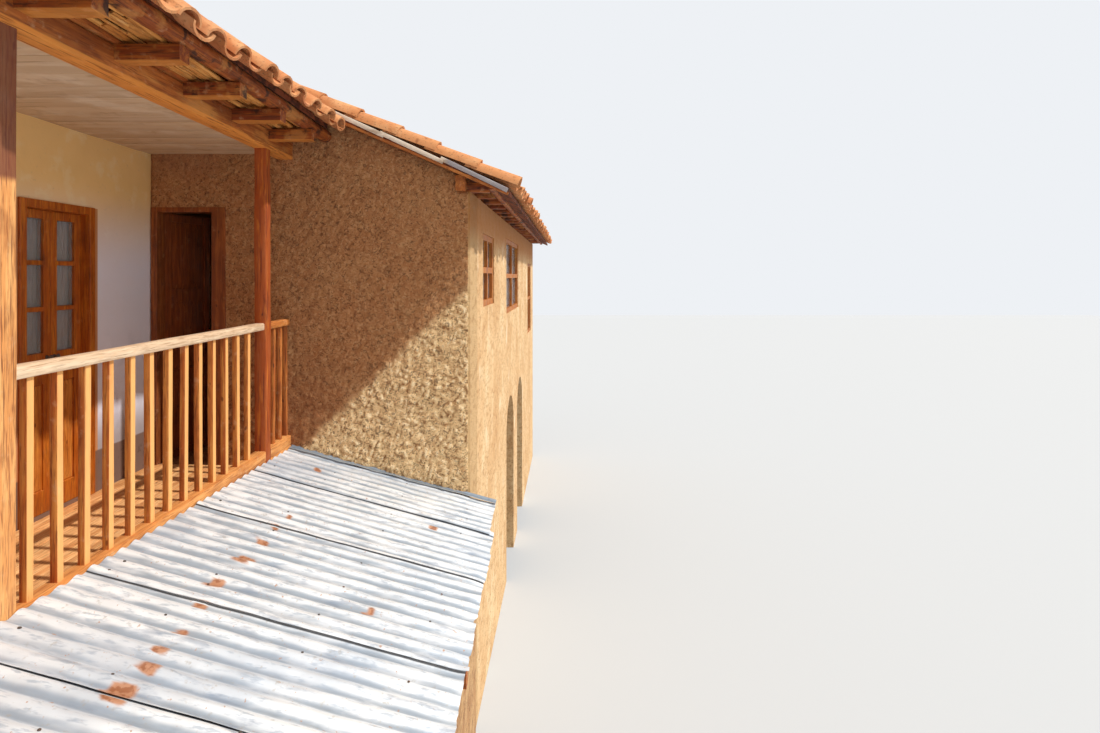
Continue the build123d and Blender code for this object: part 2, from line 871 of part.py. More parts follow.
with BuildPart() as side_window_frames:
    for start, length, low, high in side_windows:
        y_from = half + start
        block(frame_in, frame_out, y_from, y_from + length, low, high, lean)
        for y, y_to, z, z_to in lights(y_from, length, low, high):
            block(frame_in, frame_out, y, y_to, z, z_to, lean, Mode.SUBTRACT)
save(side_window_frames, "side_window_frames")

with BuildPart() as side_window_glass:
    for start, length, low, high in side_windows:
        for y, y_to, z, z_to in lights(half + start, length, low, high):
            block(pane_in, pane_in + glass, y, y_to, z, z_to, lean)
save(side_window_glass, "side_window_glass")

print("end wall face", half, "outer corner", wing_x, "side wall top", round(side_top))
print("lean-to slope", round(degrees(slope_angle), 1), "ridge", round(wide_under(ridge_x) + bed + tile))
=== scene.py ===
import math

import bpy
import numpy as np
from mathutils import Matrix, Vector


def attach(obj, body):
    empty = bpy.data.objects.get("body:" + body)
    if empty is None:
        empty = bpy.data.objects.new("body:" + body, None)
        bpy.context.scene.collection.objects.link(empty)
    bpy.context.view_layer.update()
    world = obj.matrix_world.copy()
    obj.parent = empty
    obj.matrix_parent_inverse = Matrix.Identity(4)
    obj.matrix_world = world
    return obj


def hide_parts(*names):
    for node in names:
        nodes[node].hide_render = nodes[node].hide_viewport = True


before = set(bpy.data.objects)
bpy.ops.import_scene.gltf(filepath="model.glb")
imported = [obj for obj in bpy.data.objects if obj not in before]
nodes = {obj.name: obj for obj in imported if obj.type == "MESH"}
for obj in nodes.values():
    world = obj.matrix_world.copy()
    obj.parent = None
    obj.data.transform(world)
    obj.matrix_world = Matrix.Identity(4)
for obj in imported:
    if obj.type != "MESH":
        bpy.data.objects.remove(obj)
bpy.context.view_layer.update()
print("frame loaded:", len(nodes), "nodes")

# Metres: x to the court, y along the gallery, z up from the ground
house = {
    "half": 2.74, "south": -3.19, "north": 11.24, "lean": 0.0592, "face": 0.225,
    "corner": 2.882, "floor": 2.43, "plate": 4.965,
}
roof = {
    "pitch": 0.43, "logX": 1.685, "logZ": 5.16, "under": 5.21443, "step": 0.12, "ridge": -1.975,
    "bed": 0.04, "tile": 0.112, "galleryEave": 1.855, "sideEave": 3.267, "backEave": -4.525,
    "nearEnds": (-3.34, 2.59), "wideEnds": (2.59, 11.39), "vergeRow": 0.16,
}


def wander(u, v, seed, waves=6, longest=1.0):
    # a smooth uneven field, about -1 to 1: sines of u and v summed, each with its own direction, length and start
    pick = np.random.default_rng(seed)
    total = 0
    for number in range(waves):
        angle, start = pick.uniform(0, 2 * np.pi, 2)
        length = longest / (1 + 0.6 * number)
        across = u * np.cos(angle) + v * np.sin(angle)
        total = total + np.sin(2 * np.pi * across / length + start) / (1 + 0.35 * number)
    return total / (0.6 * waves)


def lattice(u, v, size, seed):
    # value noise, 0 to 1: random numbers on a lattice of the given size, blended smoothly in between
    table = np.random.default_rng(seed).random((97, 89))
    a, b = u / size, v / size
    i, j = np.floor(a).astype(int), np.floor(b).astype(int)
    p, q = a - i, b - j
    p, q = p * p * (3 - 2 * p), q * q * (3 - 2 * q)
    i, j = i % 96, j % 88
    low = table[i, j] * (1 - p) + table[i + 1, j] * p
    high = table[i, j + 1] * (1 - p) + table[i + 1, j + 1] * p
    return low * (1 - q) + high * q


def tubeFaces(stations, around, copies=1):
    # quads between rings that follow each other, and a strip of quads over the first and the last ring
    ring = np.arange(around)
    after = (ring + 1) % around
    row = np.arange(stations - 1)[:, None] * around
    sides = np.stack([row + ring, row + after, row + around + after, row + around + ring], -1).reshape(-1, 4)
    pair = np.arange(around // 2 - 1)
    cap = np.stack([pair, pair + 1, around - 2 - pair, around - 1 - pair], -1)
    faces = np.concatenate([sides, cap[:, ::-1], cap + (stations - 1) * around])
    return (faces[None] + np.arange(copies)[:, None, None] * stations * around).reshape(-1, 4)


def gridFaces(rows, columns, keep=None):
    # quads of a sheet of rows by columns of points; keep leaves some of them out
    i, j = np.meshgrid(np.arange(rows - 1), np.arange(columns - 1), indexing="ij")
    first = (i * columns + j)
    faces = np.stack([first, first + 1, first + columns + 1, first + columns], -1)
    return faces.reshape(-1, 4) if keep is None else faces[keep]


def tubeShape(rings, tone):
    # closed tubes from rings of points, whose own places are the grain; tone is one number a tube or a point
    stations, around = rings.shape[-3:-1]
    points = rings.reshape(-1, 3)
    faces = tubeFaces(stations, around, len(points) // (stations * around))
    return points, faces, points.copy(), np.repeat(tone, len(points) // np.size(tone))


def grained(points, far, flat, seed):
    # a tube whose grain runs along it, moved and toned by chance so that no two are alike
    grain = np.concatenate([np.broadcast_to(far[:, None, None], points.shape[:2] + (1,)), flat], -1)
    grain = grain + np.random.default_rng(seed + 5).uniform(0, 9, 3)
    tone = np.full(points[..., 0].size, np.random.default_rng(seed + 3).random())
    return points.reshape(-1, 3), tubeFaces(*points.shape[:2]), grain.reshape(-1, 3), tone


def outward(points, faces):
    # the volume that the faces close in has to be positive, or every face is turned round
    a, b, c, d = (points[faces[:, k]] for k in range(4))
    volume = np.einsum("ij,ij->i", a, np.cross(b, c)).sum() + np.einsum("ij,ij->i", a, np.cross(c, d)).sum()
    return faces if volume > 0 else faces[:, ::-1]


def joined(parts):
    # several (points, faces, grain, tone) made one: each part's faces count on from the points before it
    starts = np.cumsum([0] + [len(part[0]) for part in parts])
    faces = [part[1] + start for part, start in zip(parts, starts)]
    points, grain, tone = (np.concatenate([part[k] for part in parts]) for k in (0, 2, 3))
    return points, np.concatenate(faces), grain, tone


def addField(mesh, name, values, kind="FLOAT", key="value"):
    # one more number or place a point
    field = mesh.attributes.new(name, kind, "POINT")
    field.data.foreach_set(key, np.ascontiguousarray(values, np.float32).ravel())


def addPiece(name, shape, finish, swaps=(), closed=True, sharp=38):
    # shape is (points, faces, grain, tone): grain is a place along, across and up a board, tone a number from 0 to 1.
    # The piece rides on the root, takes its finish and stands for the nodes in swaps.
    points, faces, grain, tone = shape
    if closed:
        faces = outward(points, faces)
    mesh = bpy.data.meshes.new(name)
    mesh.vertices.add(len(points))
    mesh.vertices.foreach_set("co", np.ascontiguousarray(points, np.float32).ravel())
    mesh.loops.add(faces.size)
    mesh.loops.foreach_set("vertex_index", np.ascontiguousarray(faces, np.int32).ravel())
    mesh.polygons.add(len(faces))
    mesh.polygons.foreach_set("loop_start", np.arange(0, faces.size, 4, dtype=np.int32))
    mesh.update(calc_edges=True)
    mesh.validate()
    if len(mesh.vertices) == len(points):
        addField(mesh, "grain", grain, "FLOAT_VECTOR", "vector")
        addField(mesh, "tone", tone)
    mesh.polygons.foreach_set("use_smooth", np.ones(len(mesh.polygons), bool))
    mesh.set_sharp_from_angle(angle=math.radians(sharp))
    mesh.materials.append(finishes[finish])
    piece = bpy.data.objects.new(name, mesh)
    bpy.context.scene.collection.objects.link(piece)
    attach(piece, "root")
    if swaps:
        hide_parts(*swaps)
    return piece


def beam(start, end, wide, deep, up=(0, 0, 1), corner=0.008, uneven=0.002, step=0.15, seed=0, bow=0.0):
    # a rectangle with rounded corners, carried from start to end; smooth fields swell its faces as on hewn
    # timber, and a half sine bows it sideways
    start, end, up = (np.array(value, float) for value in (start, end, up))
    along = end - start
    length = np.linalg.norm(along)
    along /= length
    side = np.cross(along, up)
    side /= np.linalg.norm(side)
    rise = np.cross(side, along)
    stations = max(2, int(length / step) + 1)
    far = np.linspace(0, length, stations)
    arcs = []
    for quarter, (right, top) in enumerate(((1, 1), (-1, 1), (-1, -1), (1, -1))):
        angle = np.radians([0, 45, 90]) + quarter * np.pi / 2
        arcs.append(np.stack([right * (wide / 2 - corner) + corner * np.cos(angle),
                              top * (deep / 2 - corner) + corner * np.sin(angle)], -1))
    section = np.roll(np.concatenate(arcs), -1, 0)
    spin = np.arctan2(section[:, 1] / deep, section[:, 0] / wide)
    lift = uneven * wander(far[:, None], 0.25 * spin[None], seed + 11, 5, 1.1)
    normal = np.stack([np.cos(spin), np.sin(spin)], -1)
    flat = section[None] + normal[None] * lift[..., None]
    flat[..., 0] += bow * np.sin(np.pi * far / length)[:, None]
    points = start + along * far[:, None, None] + side * flat[..., :1] + rise * flat[..., 1:]
    return grained(points, far, flat, seed)


def pole(places, radii, seed=0, around=12, uneven=0.06):
    # a circle carried along the places, with its radius uneven by a smooth field, as on a peeled log
    places = np.array(places, float)
    along = np.gradient(places, axis=0)
    along /= np.linalg.norm(along, axis=1)[:, None]
    up = np.where(np.abs(along[:, 2:]) > 0.9, [[1.0, 0, 0]], [[0, 0, 1.0]])
    side = np.cross(along, up)
    side /= np.linalg.norm(side, axis=1)[:, None]
    rise = np.cross(side, along)
    spin = np.linspace(0, 2 * np.pi, around, endpoint=False)
    far = np.concatenate([[0], np.cumsum(np.linalg.norm(np.diff(places, axis=0), axis=1))])
    swell = wander(far[:, None], 0.3 * np.cos(spin)[None] + 0.2 * np.sin(spin), seed, 5, 0.7)
    radius = np.broadcast_to(radii, len(places))[:, None] * (1 + uneven * swell)
    flat = radius[..., None] * np.stack([np.cos(spin), np.sin(spin)], -1)
    points = places[:, None] + side[:, None] * flat[..., :1] + rise[:, None] * flat[..., 1:]
    return grained(points, far, flat, seed)


finishes = {}


def colourOf(text):
    # sRGB hex to the linear values that a node takes
    parts = [int(text[k:k + 2], 16) / 255 for k in (1, 3, 5)]
    return tuple(p / 12.92 if p <= 0.04045 else ((p + 0.055) / 1.055) ** 2.4 for p in parts) + (1.0,)


def addNode(tree, kind, sockets=None, **settings):
    # one node with its settings; sockets gives each input a value or another node's output
    node = tree.nodes.new(kind)
    for name, value in settings.items():
        setattr(node, name, value)
    for key, value in (sockets or {}).items():
        if isinstance(value, bpy.types.NodeSocket):
            tree.links.new(value, node.inputs[key])
        else:
            node.inputs[key].default_value = value
    return node


def patternOf(tree, place, kind, size, stretch=(1, 1, 1), shift=(0, 0, 0), detail=3, rough=0.55, warp=0.0):
    # a pattern whose features are size millimetres apart, longer by stretch along x, y and z
    scale = [1000 / (size * s) for s in stretch]
    at = addNode(tree, "ShaderNodeMapping", {"Vector": place, "Scale": scale, "Location": shift}).outputs[0]
    if kind == "noise":
        return addNode(tree, "ShaderNodeTexNoise", {
            "Vector": at, "Scale": 1.0, "Detail": detail, "Roughness": rough, "Distortion": warp}).outputs["Fac"]
    if warp:
        bend = addNode(tree, "ShaderNodeTexNoise", {"Vector": at, "Scale": 1.3, "Detail": 2.0}).outputs["Color"]
        steps = {0: bend, 1: (warp, warp, warp), 2: at}
        at = addNode(tree, "ShaderNodeVectorMath", steps, operation="MULTIPLY_ADD").outputs[0]
    feature = "DISTANCE_TO_EDGE" if kind == "cracks" else "F1"
    cell = addNode(tree, "ShaderNodeTexVoronoi", {"Vector": at, "Scale": 1.0, "Randomness": 1.0}, feature=feature)
    return cell.outputs["Distance"]


def maskOf(tree, value, low, high):
    # 0 under low, 1 over high and smooth in between; low over high turns it round
    return addNode(tree, "ShaderNodeMapRange", {
        "Value": value, "From Min": low, "From Max": high}, interpolation_type="SMOOTHSTEP").outputs[0]


def product(tree, one, other):
    # one value times the other
    return addNode(tree, "ShaderNodeMath", {0: one, 1: other}, operation="MULTIPLY").outputs[0]


def makeFinish(name, base, layers, relief, rough, metal=0.0, place="Object"):
    # a material of colour layers, bump and uneven roughness, kept in finishes under its name
    # layers: (pattern, low, high, colour, share[, zone]); relief: (pattern, height in millimetres)
    # a zone is (axis or "mark", from, to) or a list of them, in metres: the layer grows from 0 at from to 1 at to
    made = bpy.data.materials.new(name)
    made.use_nodes = True
    tree = made.node_tree
    shader = tree.nodes["Principled BSDF"]
    coords = addNode(tree, "ShaderNodeTexCoord").outputs["Object"]
    read = {key: addNode(tree, "ShaderNodeAttribute", attribute_name=key).outputs for key in ("grain", "tone", "mark")}
    at = read["grain"]["Vector"] if place == "grain" else coords
    apart = addNode(tree, "ShaderNodeSeparateXYZ", {"Vector": coords}).outputs

    def valueOf(pattern):
        # the pattern's own value; a still one keeps its place in the room when the others follow the grain
        pattern = dict(pattern)
        own = coords if pattern.pop("still", False) else at
        limits = pattern.pop("limits", None)
        value = patternOf(tree, own, **pattern)
        return maskOf(tree, value, *limits) if limits else value

    colour = colourOf(base)
    for pattern, low, high, paint, share, *zones in layers:
        if pattern == "all":
            mask = None
        elif isinstance(pattern, str):
            mask = maskOf(tree, read[pattern]["Fac"], low, high)
        else:
            mask = maskOf(tree, valueOf(pattern), low, high)
        zones = zones[0] if zones and isinstance(zones[0], list) else zones
        for axis, begin, full in zones:
            zone = maskOf(tree, read["mark"]["Fac"] if axis == "mark" else apart["XYZ".index(axis)], begin, full)
            mask = zone if mask is None else product(tree, mask, zone)
        mix = {"Factor": product(tree, mask, share), 6: colour, 7: colourOf(paint)}
        colour = addNode(tree, "ShaderNodeMix", mix, data_type="RGBA").outputs[2]
    tree.links.new(colour, shader.inputs["Base Color"])
    height = 0.0
    for pattern, tall in relief:
        steps = {0: valueOf(pattern), 1: tall / 1000, 2: height}
        height = addNode(tree, "ShaderNodeMath", steps, operation="MULTIPLY_ADD").outputs[0]
    bump = addNode(tree, "ShaderNodeBump", {"Height": height, "Strength": 1.0, "Distance": 1.0})
    tree.links.new(bump.outputs[0], shader.inputs["Normal"])
    spread = {"Value": patternOf(tree, at, "noise", 90), "From Min": 0.3, "From Max": 0.7,
              "To Min": max(0.05, rough - 0.12), "To Max": min(1.0, rough + 0.12)}
    tree.links.new(addNode(tree, "ShaderNodeMapRange", spread).outputs[0], shader.inputs["Roughness"])
    shader.inputs["Metallic"].default_value = metal
    finishes[name] = made


def noise(size, **more):
    # the settings of a noise pattern
    return dict(kind="noise", size=size, **more)


def cells(size, **more):
    # the settings of a pattern of cells, 0 at each middle
    return dict(kind="cells", size=size, **more)


# Fired clay, hand moulded: buff to orange by the tile, matt and dusty, with grey lichen and soot
makeFinish("firedClay", "#c07a48", [
    ("tone", 0.0, 1.0, "#d39a68", 0.8),
    ("tone", 0.72, 0.95, "#b25c32", 0.6),
    (noise(160, shift=(3, 1, 7)), 0.48, 0.72, "#e2b484", 0.55),
    (noise(45, detail=5), 0.55, 0.7, "#8c5030", 0.6),
    (noise(14, shift=(9, 4, 2)), 0.6, 0.68, "#54402f", 0.55),
    (noise(420, shift=(1, 8, 5)), 0.55, 0.75, "#a8683e", 0.5),
], [(noise(7), 0.5), (noise(40), 1.6)], 0.88)

# Mud plaster with chopped straw, thrown on and rubbed by hand: brown, matt, crumbly, with flecks and pits.
# Past the corner the wall has the tan earth render of the side wall.
# painted sunlight: where the mark is 1, low on the end wall's right, the plaster is painted pale as if sunlit
paintedSunPart = ("mark", 0.2, 0.8)
sideFace = ("X", 2.862, 2.872)
mudLook = [
    (noise(300, shift=(2, 5, 1)), 0.4, 0.66, "#b88658", 0.7),
    (noise(80, detail=5, shift=(4, 2, 8)), 0.48, 0.7, "#8c5c38", 0.6),
    # painted sunlight: the pale patch over the mark
    ("mark", 0.2, 0.8, "#ffdda6", 1.0),
    (noise(42, detail=5, warp=1.2), 0.5, 0.62, "#d2a474", 0.5),
    (noise(18, stretch=(1.5, 1, 1), shift=(6, 6, 1), warp=1.6), 0.56, 0.66, "#e2c090", 0.3),
    (noise(64, detail=5, rough=0.65, stretch=(1.3, 1, 0.8), shift=(3, 1, 3), warp=1.4),
     0.5, 0.62, "#c08c58", 0.5, paintedSunPart),
    (noise(46, detail=4, stretch=(1.5, 1, 0.7), shift=(7, 1, 2), warp=1.8), 0.57, 0.64, "#8a5830", 0.5, paintedSunPart),
    # painted light and shade on the crumbs, from the relief's slope: strong in the painted sunlit patch, weaker
    # elsewhere
    ("tone", 0.45, 0.1, "#9a6434", 0.8, paintedSunPart),
    ("tone", 0.52, 0.85, "#ffe8be", 0.85, paintedSunPart),
    ("tone", 0.4, 0.1, "#6a4020", 0.35, ("mark", 0.6, 0.2)),
    ("tone", 0.6, 0.9, "#cc9c6a", 0.35, ("mark", 0.6, 0.2)),
    (noise(34, detail=4, shift=(1, 3, 7), warp=1.8), 0.55, 0.62, "#5c3a22", 0.65),
    (cells(60, warp=0.6), 0.13, 0.06, "#4a2c18", 0.7),
    ("all", 0, 0, "#cfac7c", 1.0, sideFace),
    # painted shadow of the eave: the side face darkened to brown from 4.15 m up
    ("all", 0, 0, "#aa6a2c", 0.85, [sideFace, ("Z", 4.15, 4.5)]),
    (noise(60, detail=6, rough=0.65, stretch=(1, 2.5, 1), shift=(1, 1, 6)), 0.5, 0.62, "#b08656", 0.6, sideFace),
    ("all", 0, 0, "#a9795a", 0.4, [("X", 0.9, 0.6), ("Z", 4.75, 4.95)]),
    ("all", 0, 0, "#84481e", 0.4, [("X", 2.0, 1.5), ("Z", 3.6, 2.9), ("mark", 0.5, 0.1)]),
]
mudRelief = [(noise(46, detail=6, rough=0.65, warp=0.9), 20.0), (noise(17, detail=4, warp=1.5), 11.0),
             (cells(48, warp=0.6, limits=(0.0, 0.18)), 5.0)]
makeFinish("strawMud", "#b27b4e", mudLook, mudRelief, 0.95)

# Earth render, sun bleached: tan, matt, streaked by rain, with rusty drips, hair cracks and pits
makeFinish("tanPlaster", "#d8b688", [
    (noise(800, shift=(1, 2, 3)), 0.42, 0.66, "#c39663", 0.6),
    (noise(220, detail=5, stretch=(1, 1, 2.5), shift=(5, 5, 5)), 0.5, 0.68, "#e4cfa6", 0.6),
    (noise(50, detail=5, stretch=(1, 1, 9), shift=(2, 7, 4)), 0.6, 0.74, "#a8713e", 0.5),
    (noise(60, detail=6, rough=0.65, stretch=(1, 2.5, 1), shift=(1, 1, 6)), 0.5, 0.62, "#b88a58", 0.6),
    (noise(26, detail=5, stretch=(1, 2.5, 1), warp=1.0), 0.57, 0.65, "#8e6236", 0.6),
    (cells(75, warp=0.9, shift=(3, 3, 0)), 0.12, 0.05, "#5a3c22", 0.85),
    (dict(kind="cracks", size=330, stretch=(1, 1, 1.4), warp=1.6), 0.012, 0.0, "#7a5430", 0.5),
    (noise(340, stretch=(1, 1, 1.5), shift=(8, 2, 2)), 0.6, 0.72, "#efe0c2", 0.5),
    # painted shadow of the eave: every wall of this finish darkened to brown from 4.15 m up
    ("all", 0, 0, "#aa6a2c", 0.85, ("Z", 4.15, 4.5)),
], [(noise(90, detail=5), 7.0), (noise(26, detail=4), 5.0),
    (cells(75, warp=0.9, shift=(3, 3, 0), limits=(0.0, 0.12)), 5.0)], 0.93)

# Bare earth of the lean-to: pale where the sun reaches, with crumbled hollows and straw
makeFinish("bareEarth", "#c09a6c", [
    (noise(260, shift=(4, 2, 3)), 0.42, 0.64, "#a9784a", 0.6),
    (noise(80, detail=6, rough=0.65, stretch=(1, 2.5, 1), warp=0.8), 0.48, 0.62, "#8a5c36", 0.6),
    (noise(34, detail=5, stretch=(1, 2.5, 1.4), warp=1.2, shift=(2, 2, 2)), 0.57, 0.65, "#5e3e24", 0.6),
    (noise(18, warp=1.6, shift=(5, 1, 1)), 0.58, 0.66, "#e2c496", 0.5),
    (cells(70, warp=0.8), 0.14, 0.06, "#44291a", 0.8),
], [(noise(70, detail=6, rough=0.65, warp=0.8), 16.0), (noise(22, detail=4), 6.0)], 0.95)

# Lime wash on plaster: a painted-light gradient from warm cream above to pale grey below, painted shade low, dark
# skirting
makeFinish("limeWash", "#eec684", [
    (noise(600, shift=(3, 3, 1)), 0.42, 0.66, "#e0b878", 0.5),
    (noise(150, detail=4, shift=(7, 1, 1)), 0.54, 0.7, "#f2d8a4", 0.5),
    (noise(30, detail=5), 0.62, 0.74, "#c8ac82", 0.4),
    # painted light: below 4.0 m the wall turns pale lavender grey, and above it the warm cream stands for bounced light
    ("all", 0, 0, "#e4e6f8", 0.92, ("Z", 4.7, 4.0)),
    (noise(220, detail=5, shift=(1, 4, 4)), 0.5, 0.72, "#c0bccc", 0.5, ("Z", 3.9, 3.2)),
    (cells(210), 0.05, 0.02, "#8a7c6c", 0.7),
    # painted shade: the wall's lowest part, below about 3 m, darkened to grey
    ("all", 0, 0, "#8c7f7c", 0.8, ("Z", 3.1, 2.75)),
    ("all", 0, 0, "#c08250", 0.95, [("Y", 2.122, 2.116), ("Y", 1.38, 1.386), ("Z", 4.492, 4.486)]),
    ("all", 0, 0, "#6e5244", 0.92, ("Z", 2.735, 2.72)),
    (noise(50, detail=4, shift=(2, 2, 6)), 0.55, 0.7, "#46332a", 0.5, ("Z", 2.735, 2.72)),
], [(noise(120), 2.5), (noise(12), 0.5)], 0.85)


def timber(name, shade, lit, dark, relief=1.0, place="grain", way=0, worn=0.3, rough=0.72, extra=()):
    # sawn and hewn wood: streaks along the grain, knots, short dark checks and worn paler edges
    stretch, longer, oval = (tuple(size if k == way else 1 for k in range(3)) for size in (14, 30, 2.2))
    makeFinish(name, shade, [
        ("tone", 0.1, 0.95, lit, 0.35),
        (noise(26, stretch=stretch, detail=5), 0.42, 0.66, lit, 0.75),
        (noise(9, stretch=stretch, detail=4, shift=(3, 1, 2)), 0.5, 0.68, dark, 0.6),
        (noise(5, stretch=longer, detail=2, shift=(1, 5, 3)), 0.6, 0.68, dark, 0.75),
        (noise(210, detail=4, shift=(5, 5, 1)), 0.5, 0.72, dark, 0.4),
        (noise(60, detail=5, shift=(9, 2, 4)), 0.58, 0.72, "#dcb48a", worn),
        (cells(95, stretch=oval, warp=0.3), 0.1, 0.05, dark, 0.85),
        *extra,
    ], [
        (noise(9, stretch=stretch, detail=5), 1.6 * relief),
        (noise(5, stretch=longer, detail=2, limits=(0.64, 0.7)), -1.6 * relief),
    ], rough, place=place)


# Hewn eucalyptus, oiled brown by weather: orange brown with pale sapwood
for name, place, way in (("oldTimber", "grain", 0), ("oldTimberY", "Object", 1), ("oldTimberX", "Object", 0)):
    timber(name, "#a8581e", "#d48a42", "#5a2a10", place=place, way=way)
# The posts: scrubbed pale by sun and hands, the nearer ones' tops a painted shadow of the eave, and the far ones darker
farPosts = ("Y", 0.8, 1.2)
timber("postTimber", "#c87a38", "#ecb472", "#7a3c18", extra=[
    (noise(8, stretch=(110, 1, 1), detail=2, shift=(4, 4, 1)), 0.6, 0.65, "#5a2c10", 0.8),
    # painted shadow of the eave: the nearer posts purple brown above about 4.37 m
    ("all", 0, 0, "#642a1c", 0.85, [("Z", 4.355, 4.39), ("Y", 1.2, 0.8)]),
    ("all", 0, 0, "#9a4004", 0.88, farPosts),
    (noise(22, stretch=(12, 1, 1), detail=5, shift=(2, 9, 1)), 0.5, 0.66, "#642206", 0.7, farPosts),
    (noise(30, stretch=(9, 1, 1), detail=4, shift=(6, 1, 8)), 0.54, 0.66, "#d07a26", 0.6, farPosts),
    (cells(110, stretch=(2, 1, 1), warp=0.3, shift=(1, 4, 4)), 0.11, 0.05, "#2c0e04", 0.85, farPosts)])
timber("plateTimber", "#9a4c16", "#c87a32", "#5a260c", extra=[
    (noise(260, stretch=(3, 1, 1), detail=4, shift=(1, 1, 1)), 0.46, 0.62, "#6e3008", 0.55),
    (noise(180, stretch=(4, 1, 1), shift=(7, 2, 1)), 0.56, 0.66, "#dc9c50", 0.5),
    # painted light: the plate's underside and lowest edge bright orange, for light bounced up onto it
    ("all", 0, 0, "#f09c40", 0.65, ("Z", 4.995, 4.985)),
    (noise(14, stretch=(20, 1, 1), detail=4, shift=(2, 8, 1)), 0.54, 0.62, "#8a4410", 0.7)])
# The same wood under the tiles: smoked, with ochre and burnt patches
timber("tailTimber", "#7c320a", "#b4641e", "#2e1205", extra=[
    (noise(170, detail=4, shift=(2, 6, 3)), 0.54, 0.64, "#c88c4a", 0.55),
    (noise(120, detail=5, shift=(7, 1, 9)), 0.56, 0.64, "#2a1208", 0.85),
    # painted light: the gallery joists' undersides lighter orange, for light bounced up onto them
    ("all", 0, 0, "#e0943c", 0.5, [("Z", 5.036, 5.031), ("Z", 4.9, 5.0)])])
# Handled wood of the rail, scrubbed pale, with grey checks and small knots
timber("railTimber", "#d0b090", "#e8d4b8", "#9c7858", relief=0.8, worn=0.4, rough=0.62)
timber("balusterTimber", "#b45a1c", "#e09848", "#783a10", relief=0.7, extra=[
    # painted sunlight: the balusters' face towards the court, where the sun falls, painted pale
    ("all", 0, 0, "#f6bb74", 0.72, ("X", 1.3635, 1.366))])
timber("sillTimber", "#c07838", "#e4a662", "#8a4a20", relief=0.7)
# Varnished cedar of the doors: reddish brown, half gloss
for name, shade, lit, dark, relief, worn, rough in (
    ("doorTimber", "#aa540e", "#cc7a24", "#602a04", 0.5, 0.1, 0.5),
    ("panelTimber", "#bc6c26", "#e09440", "#80400e", 0.5, 0.1, 0.5),
    ("jambTimber", "#7c3c10", "#a65e26", "#4c2206", 0.5, 0.15, 0.6),
    ("darkDoor", "#84401a", "#a65a28", "#4a2009", 0.5, 0.1, 0.5),
    ("windowTimber", "#a85e1a", "#cc8a38", "#6c3610", 0.6, 0.15, 0.65),
):
    timber(name, shade, lit, dark, relief, "Object", 2, worn, rough)
timber("splitStick", "#c07a30", "#f0b464", "#7a3e14")
timber("floorBoard", "#d6955a", "#f2c488", "#96602e", relief=0.8, worn=0.5)
# Softwood ceiling boards, limed once and greyed by dust, with dark seams and stains
makeFinish("ceilingBoard", "#d4ba98", [
    ("tone", 0.0, 1.0, "#c4ad90", 0.6),
    (noise(60, stretch=(9, 1, 1), detail=5), 0.45, 0.7, "#e6d6be", 0.5),
    (noise(14, stretch=(30, 1, 1)), 0.64, 0.68, "#7c5c42", 0.85),
    (noise(130, detail=5, still=True), 0.56, 0.74, "#9c7c5e", 0.5),
    (noise(260, still=True, shift=(4, 1, 1)), 0.5, 0.7, "#eadcc6", 0.6),
    ("all", 0, 0, "#b48a60", 0.35, ("Y", 0.6, 2.2)),
], [(noise(9, stretch=(14, 1, 1), detail=4), 1.0)], 0.85, place="grain")

# Galvanised steel, years outside: crests painted near white, worn bright and painted sheen; valleys blue grey, dirt and
# painted shade. The tone is 0 in a valley and 1 on a crest; the mark is 1 where an old fixing bled rust and -1 along a
# lap, dirt and the painted shadow under the next sheet's lifted edge.
makeFinish("galvanised", "#9aa6b3", [
    ("tone", 0.1, 0.7, "#e4eaf0", 0.95),
    (noise(90, stretch=(9, 1, 1)), 0.44, 0.66, "#eef2f7", 0.5),
    (noise(16, stretch=(22, 1, 1), detail=4, shift=(6, 2, 1)), 0.52, 0.68, "#9aa8b8", 0.6),
    (noise(60, stretch=(14, 1, 1), detail=5, shift=(2, 3, 1)), 0.56, 0.7, "#74839a", 0.5),
    # large blue grey patches: weathering, and painted shade standing for dappled shadows
    (noise(700, stretch=(1.8, 1, 1), shift=(5, 5, 1)), 0.5, 0.68, "#93a3b8", 0.4),
    (noise(30, detail=5, shift=(8, 1, 3)), 0.6, 0.74, "#a39c90", 0.5),
    (noise(24, detail=5, shift=(3, 3, 3)), 0.66, 0.72, "#b07848", 0.7),
    ("mark", 0.15, 0.85, "#bd8050", 0.85),
    (noise(26, detail=4, shift=(1, 9, 2)), 0.45, 0.6, "#84461e", 0.6, ("mark", 0.3, 0.9)),
    ("mark", -0.2, -0.9, "#1c1c22", 0.95),
], [(noise(35), 0.8), (noise(140, detail=2), 3.0)], 0.42, metal=0.25)
makeFinish("darkZinc", "#7b8998", [
    (noise(120, stretch=(4, 1, 1), detail=4), 0.45, 0.7, "#97a4b2", 0.7),
    (noise(30, detail=5), 0.58, 0.72, "#566472", 0.6),
    ("tone", 0.5, 0.9, "#c9d0d7", 0.9),
], [(noise(60), 1.5)], 0.5, metal=0.3)

# Thin old window panes: a grey film that lets the curtain through
makeFinish("paneGlass", "#9aa2a6", [
    (noise(70, detail=4), 0.5, 0.7, "#c2c6c6", 0.5),
], [(noise(120), 0.4)], 0.1)
finishes["paneGlass"].node_tree.nodes["Principled BSDF"].inputs["Alpha"].default_value = 0.3
# Cotton voile, washed grey: soft, with a fine weave
makeFinish("curtain", "#c9bcb8", [
    (noise(160, detail=4), 0.45, 0.7, "#b0a6b4", 0.6),
    (noise(260, detail=2, shift=(2, 5, 1)), 0.5, 0.62, "#c09078", 0.5, ("Z", 3.82, 3.74)),
    (noise(2, stretch=(1, 1, 8)), 0.5, 0.7, "#dcd6de", 0.4),
], [(noise(2, stretch=(1, 1, 8)), 0.15)], 0.95)
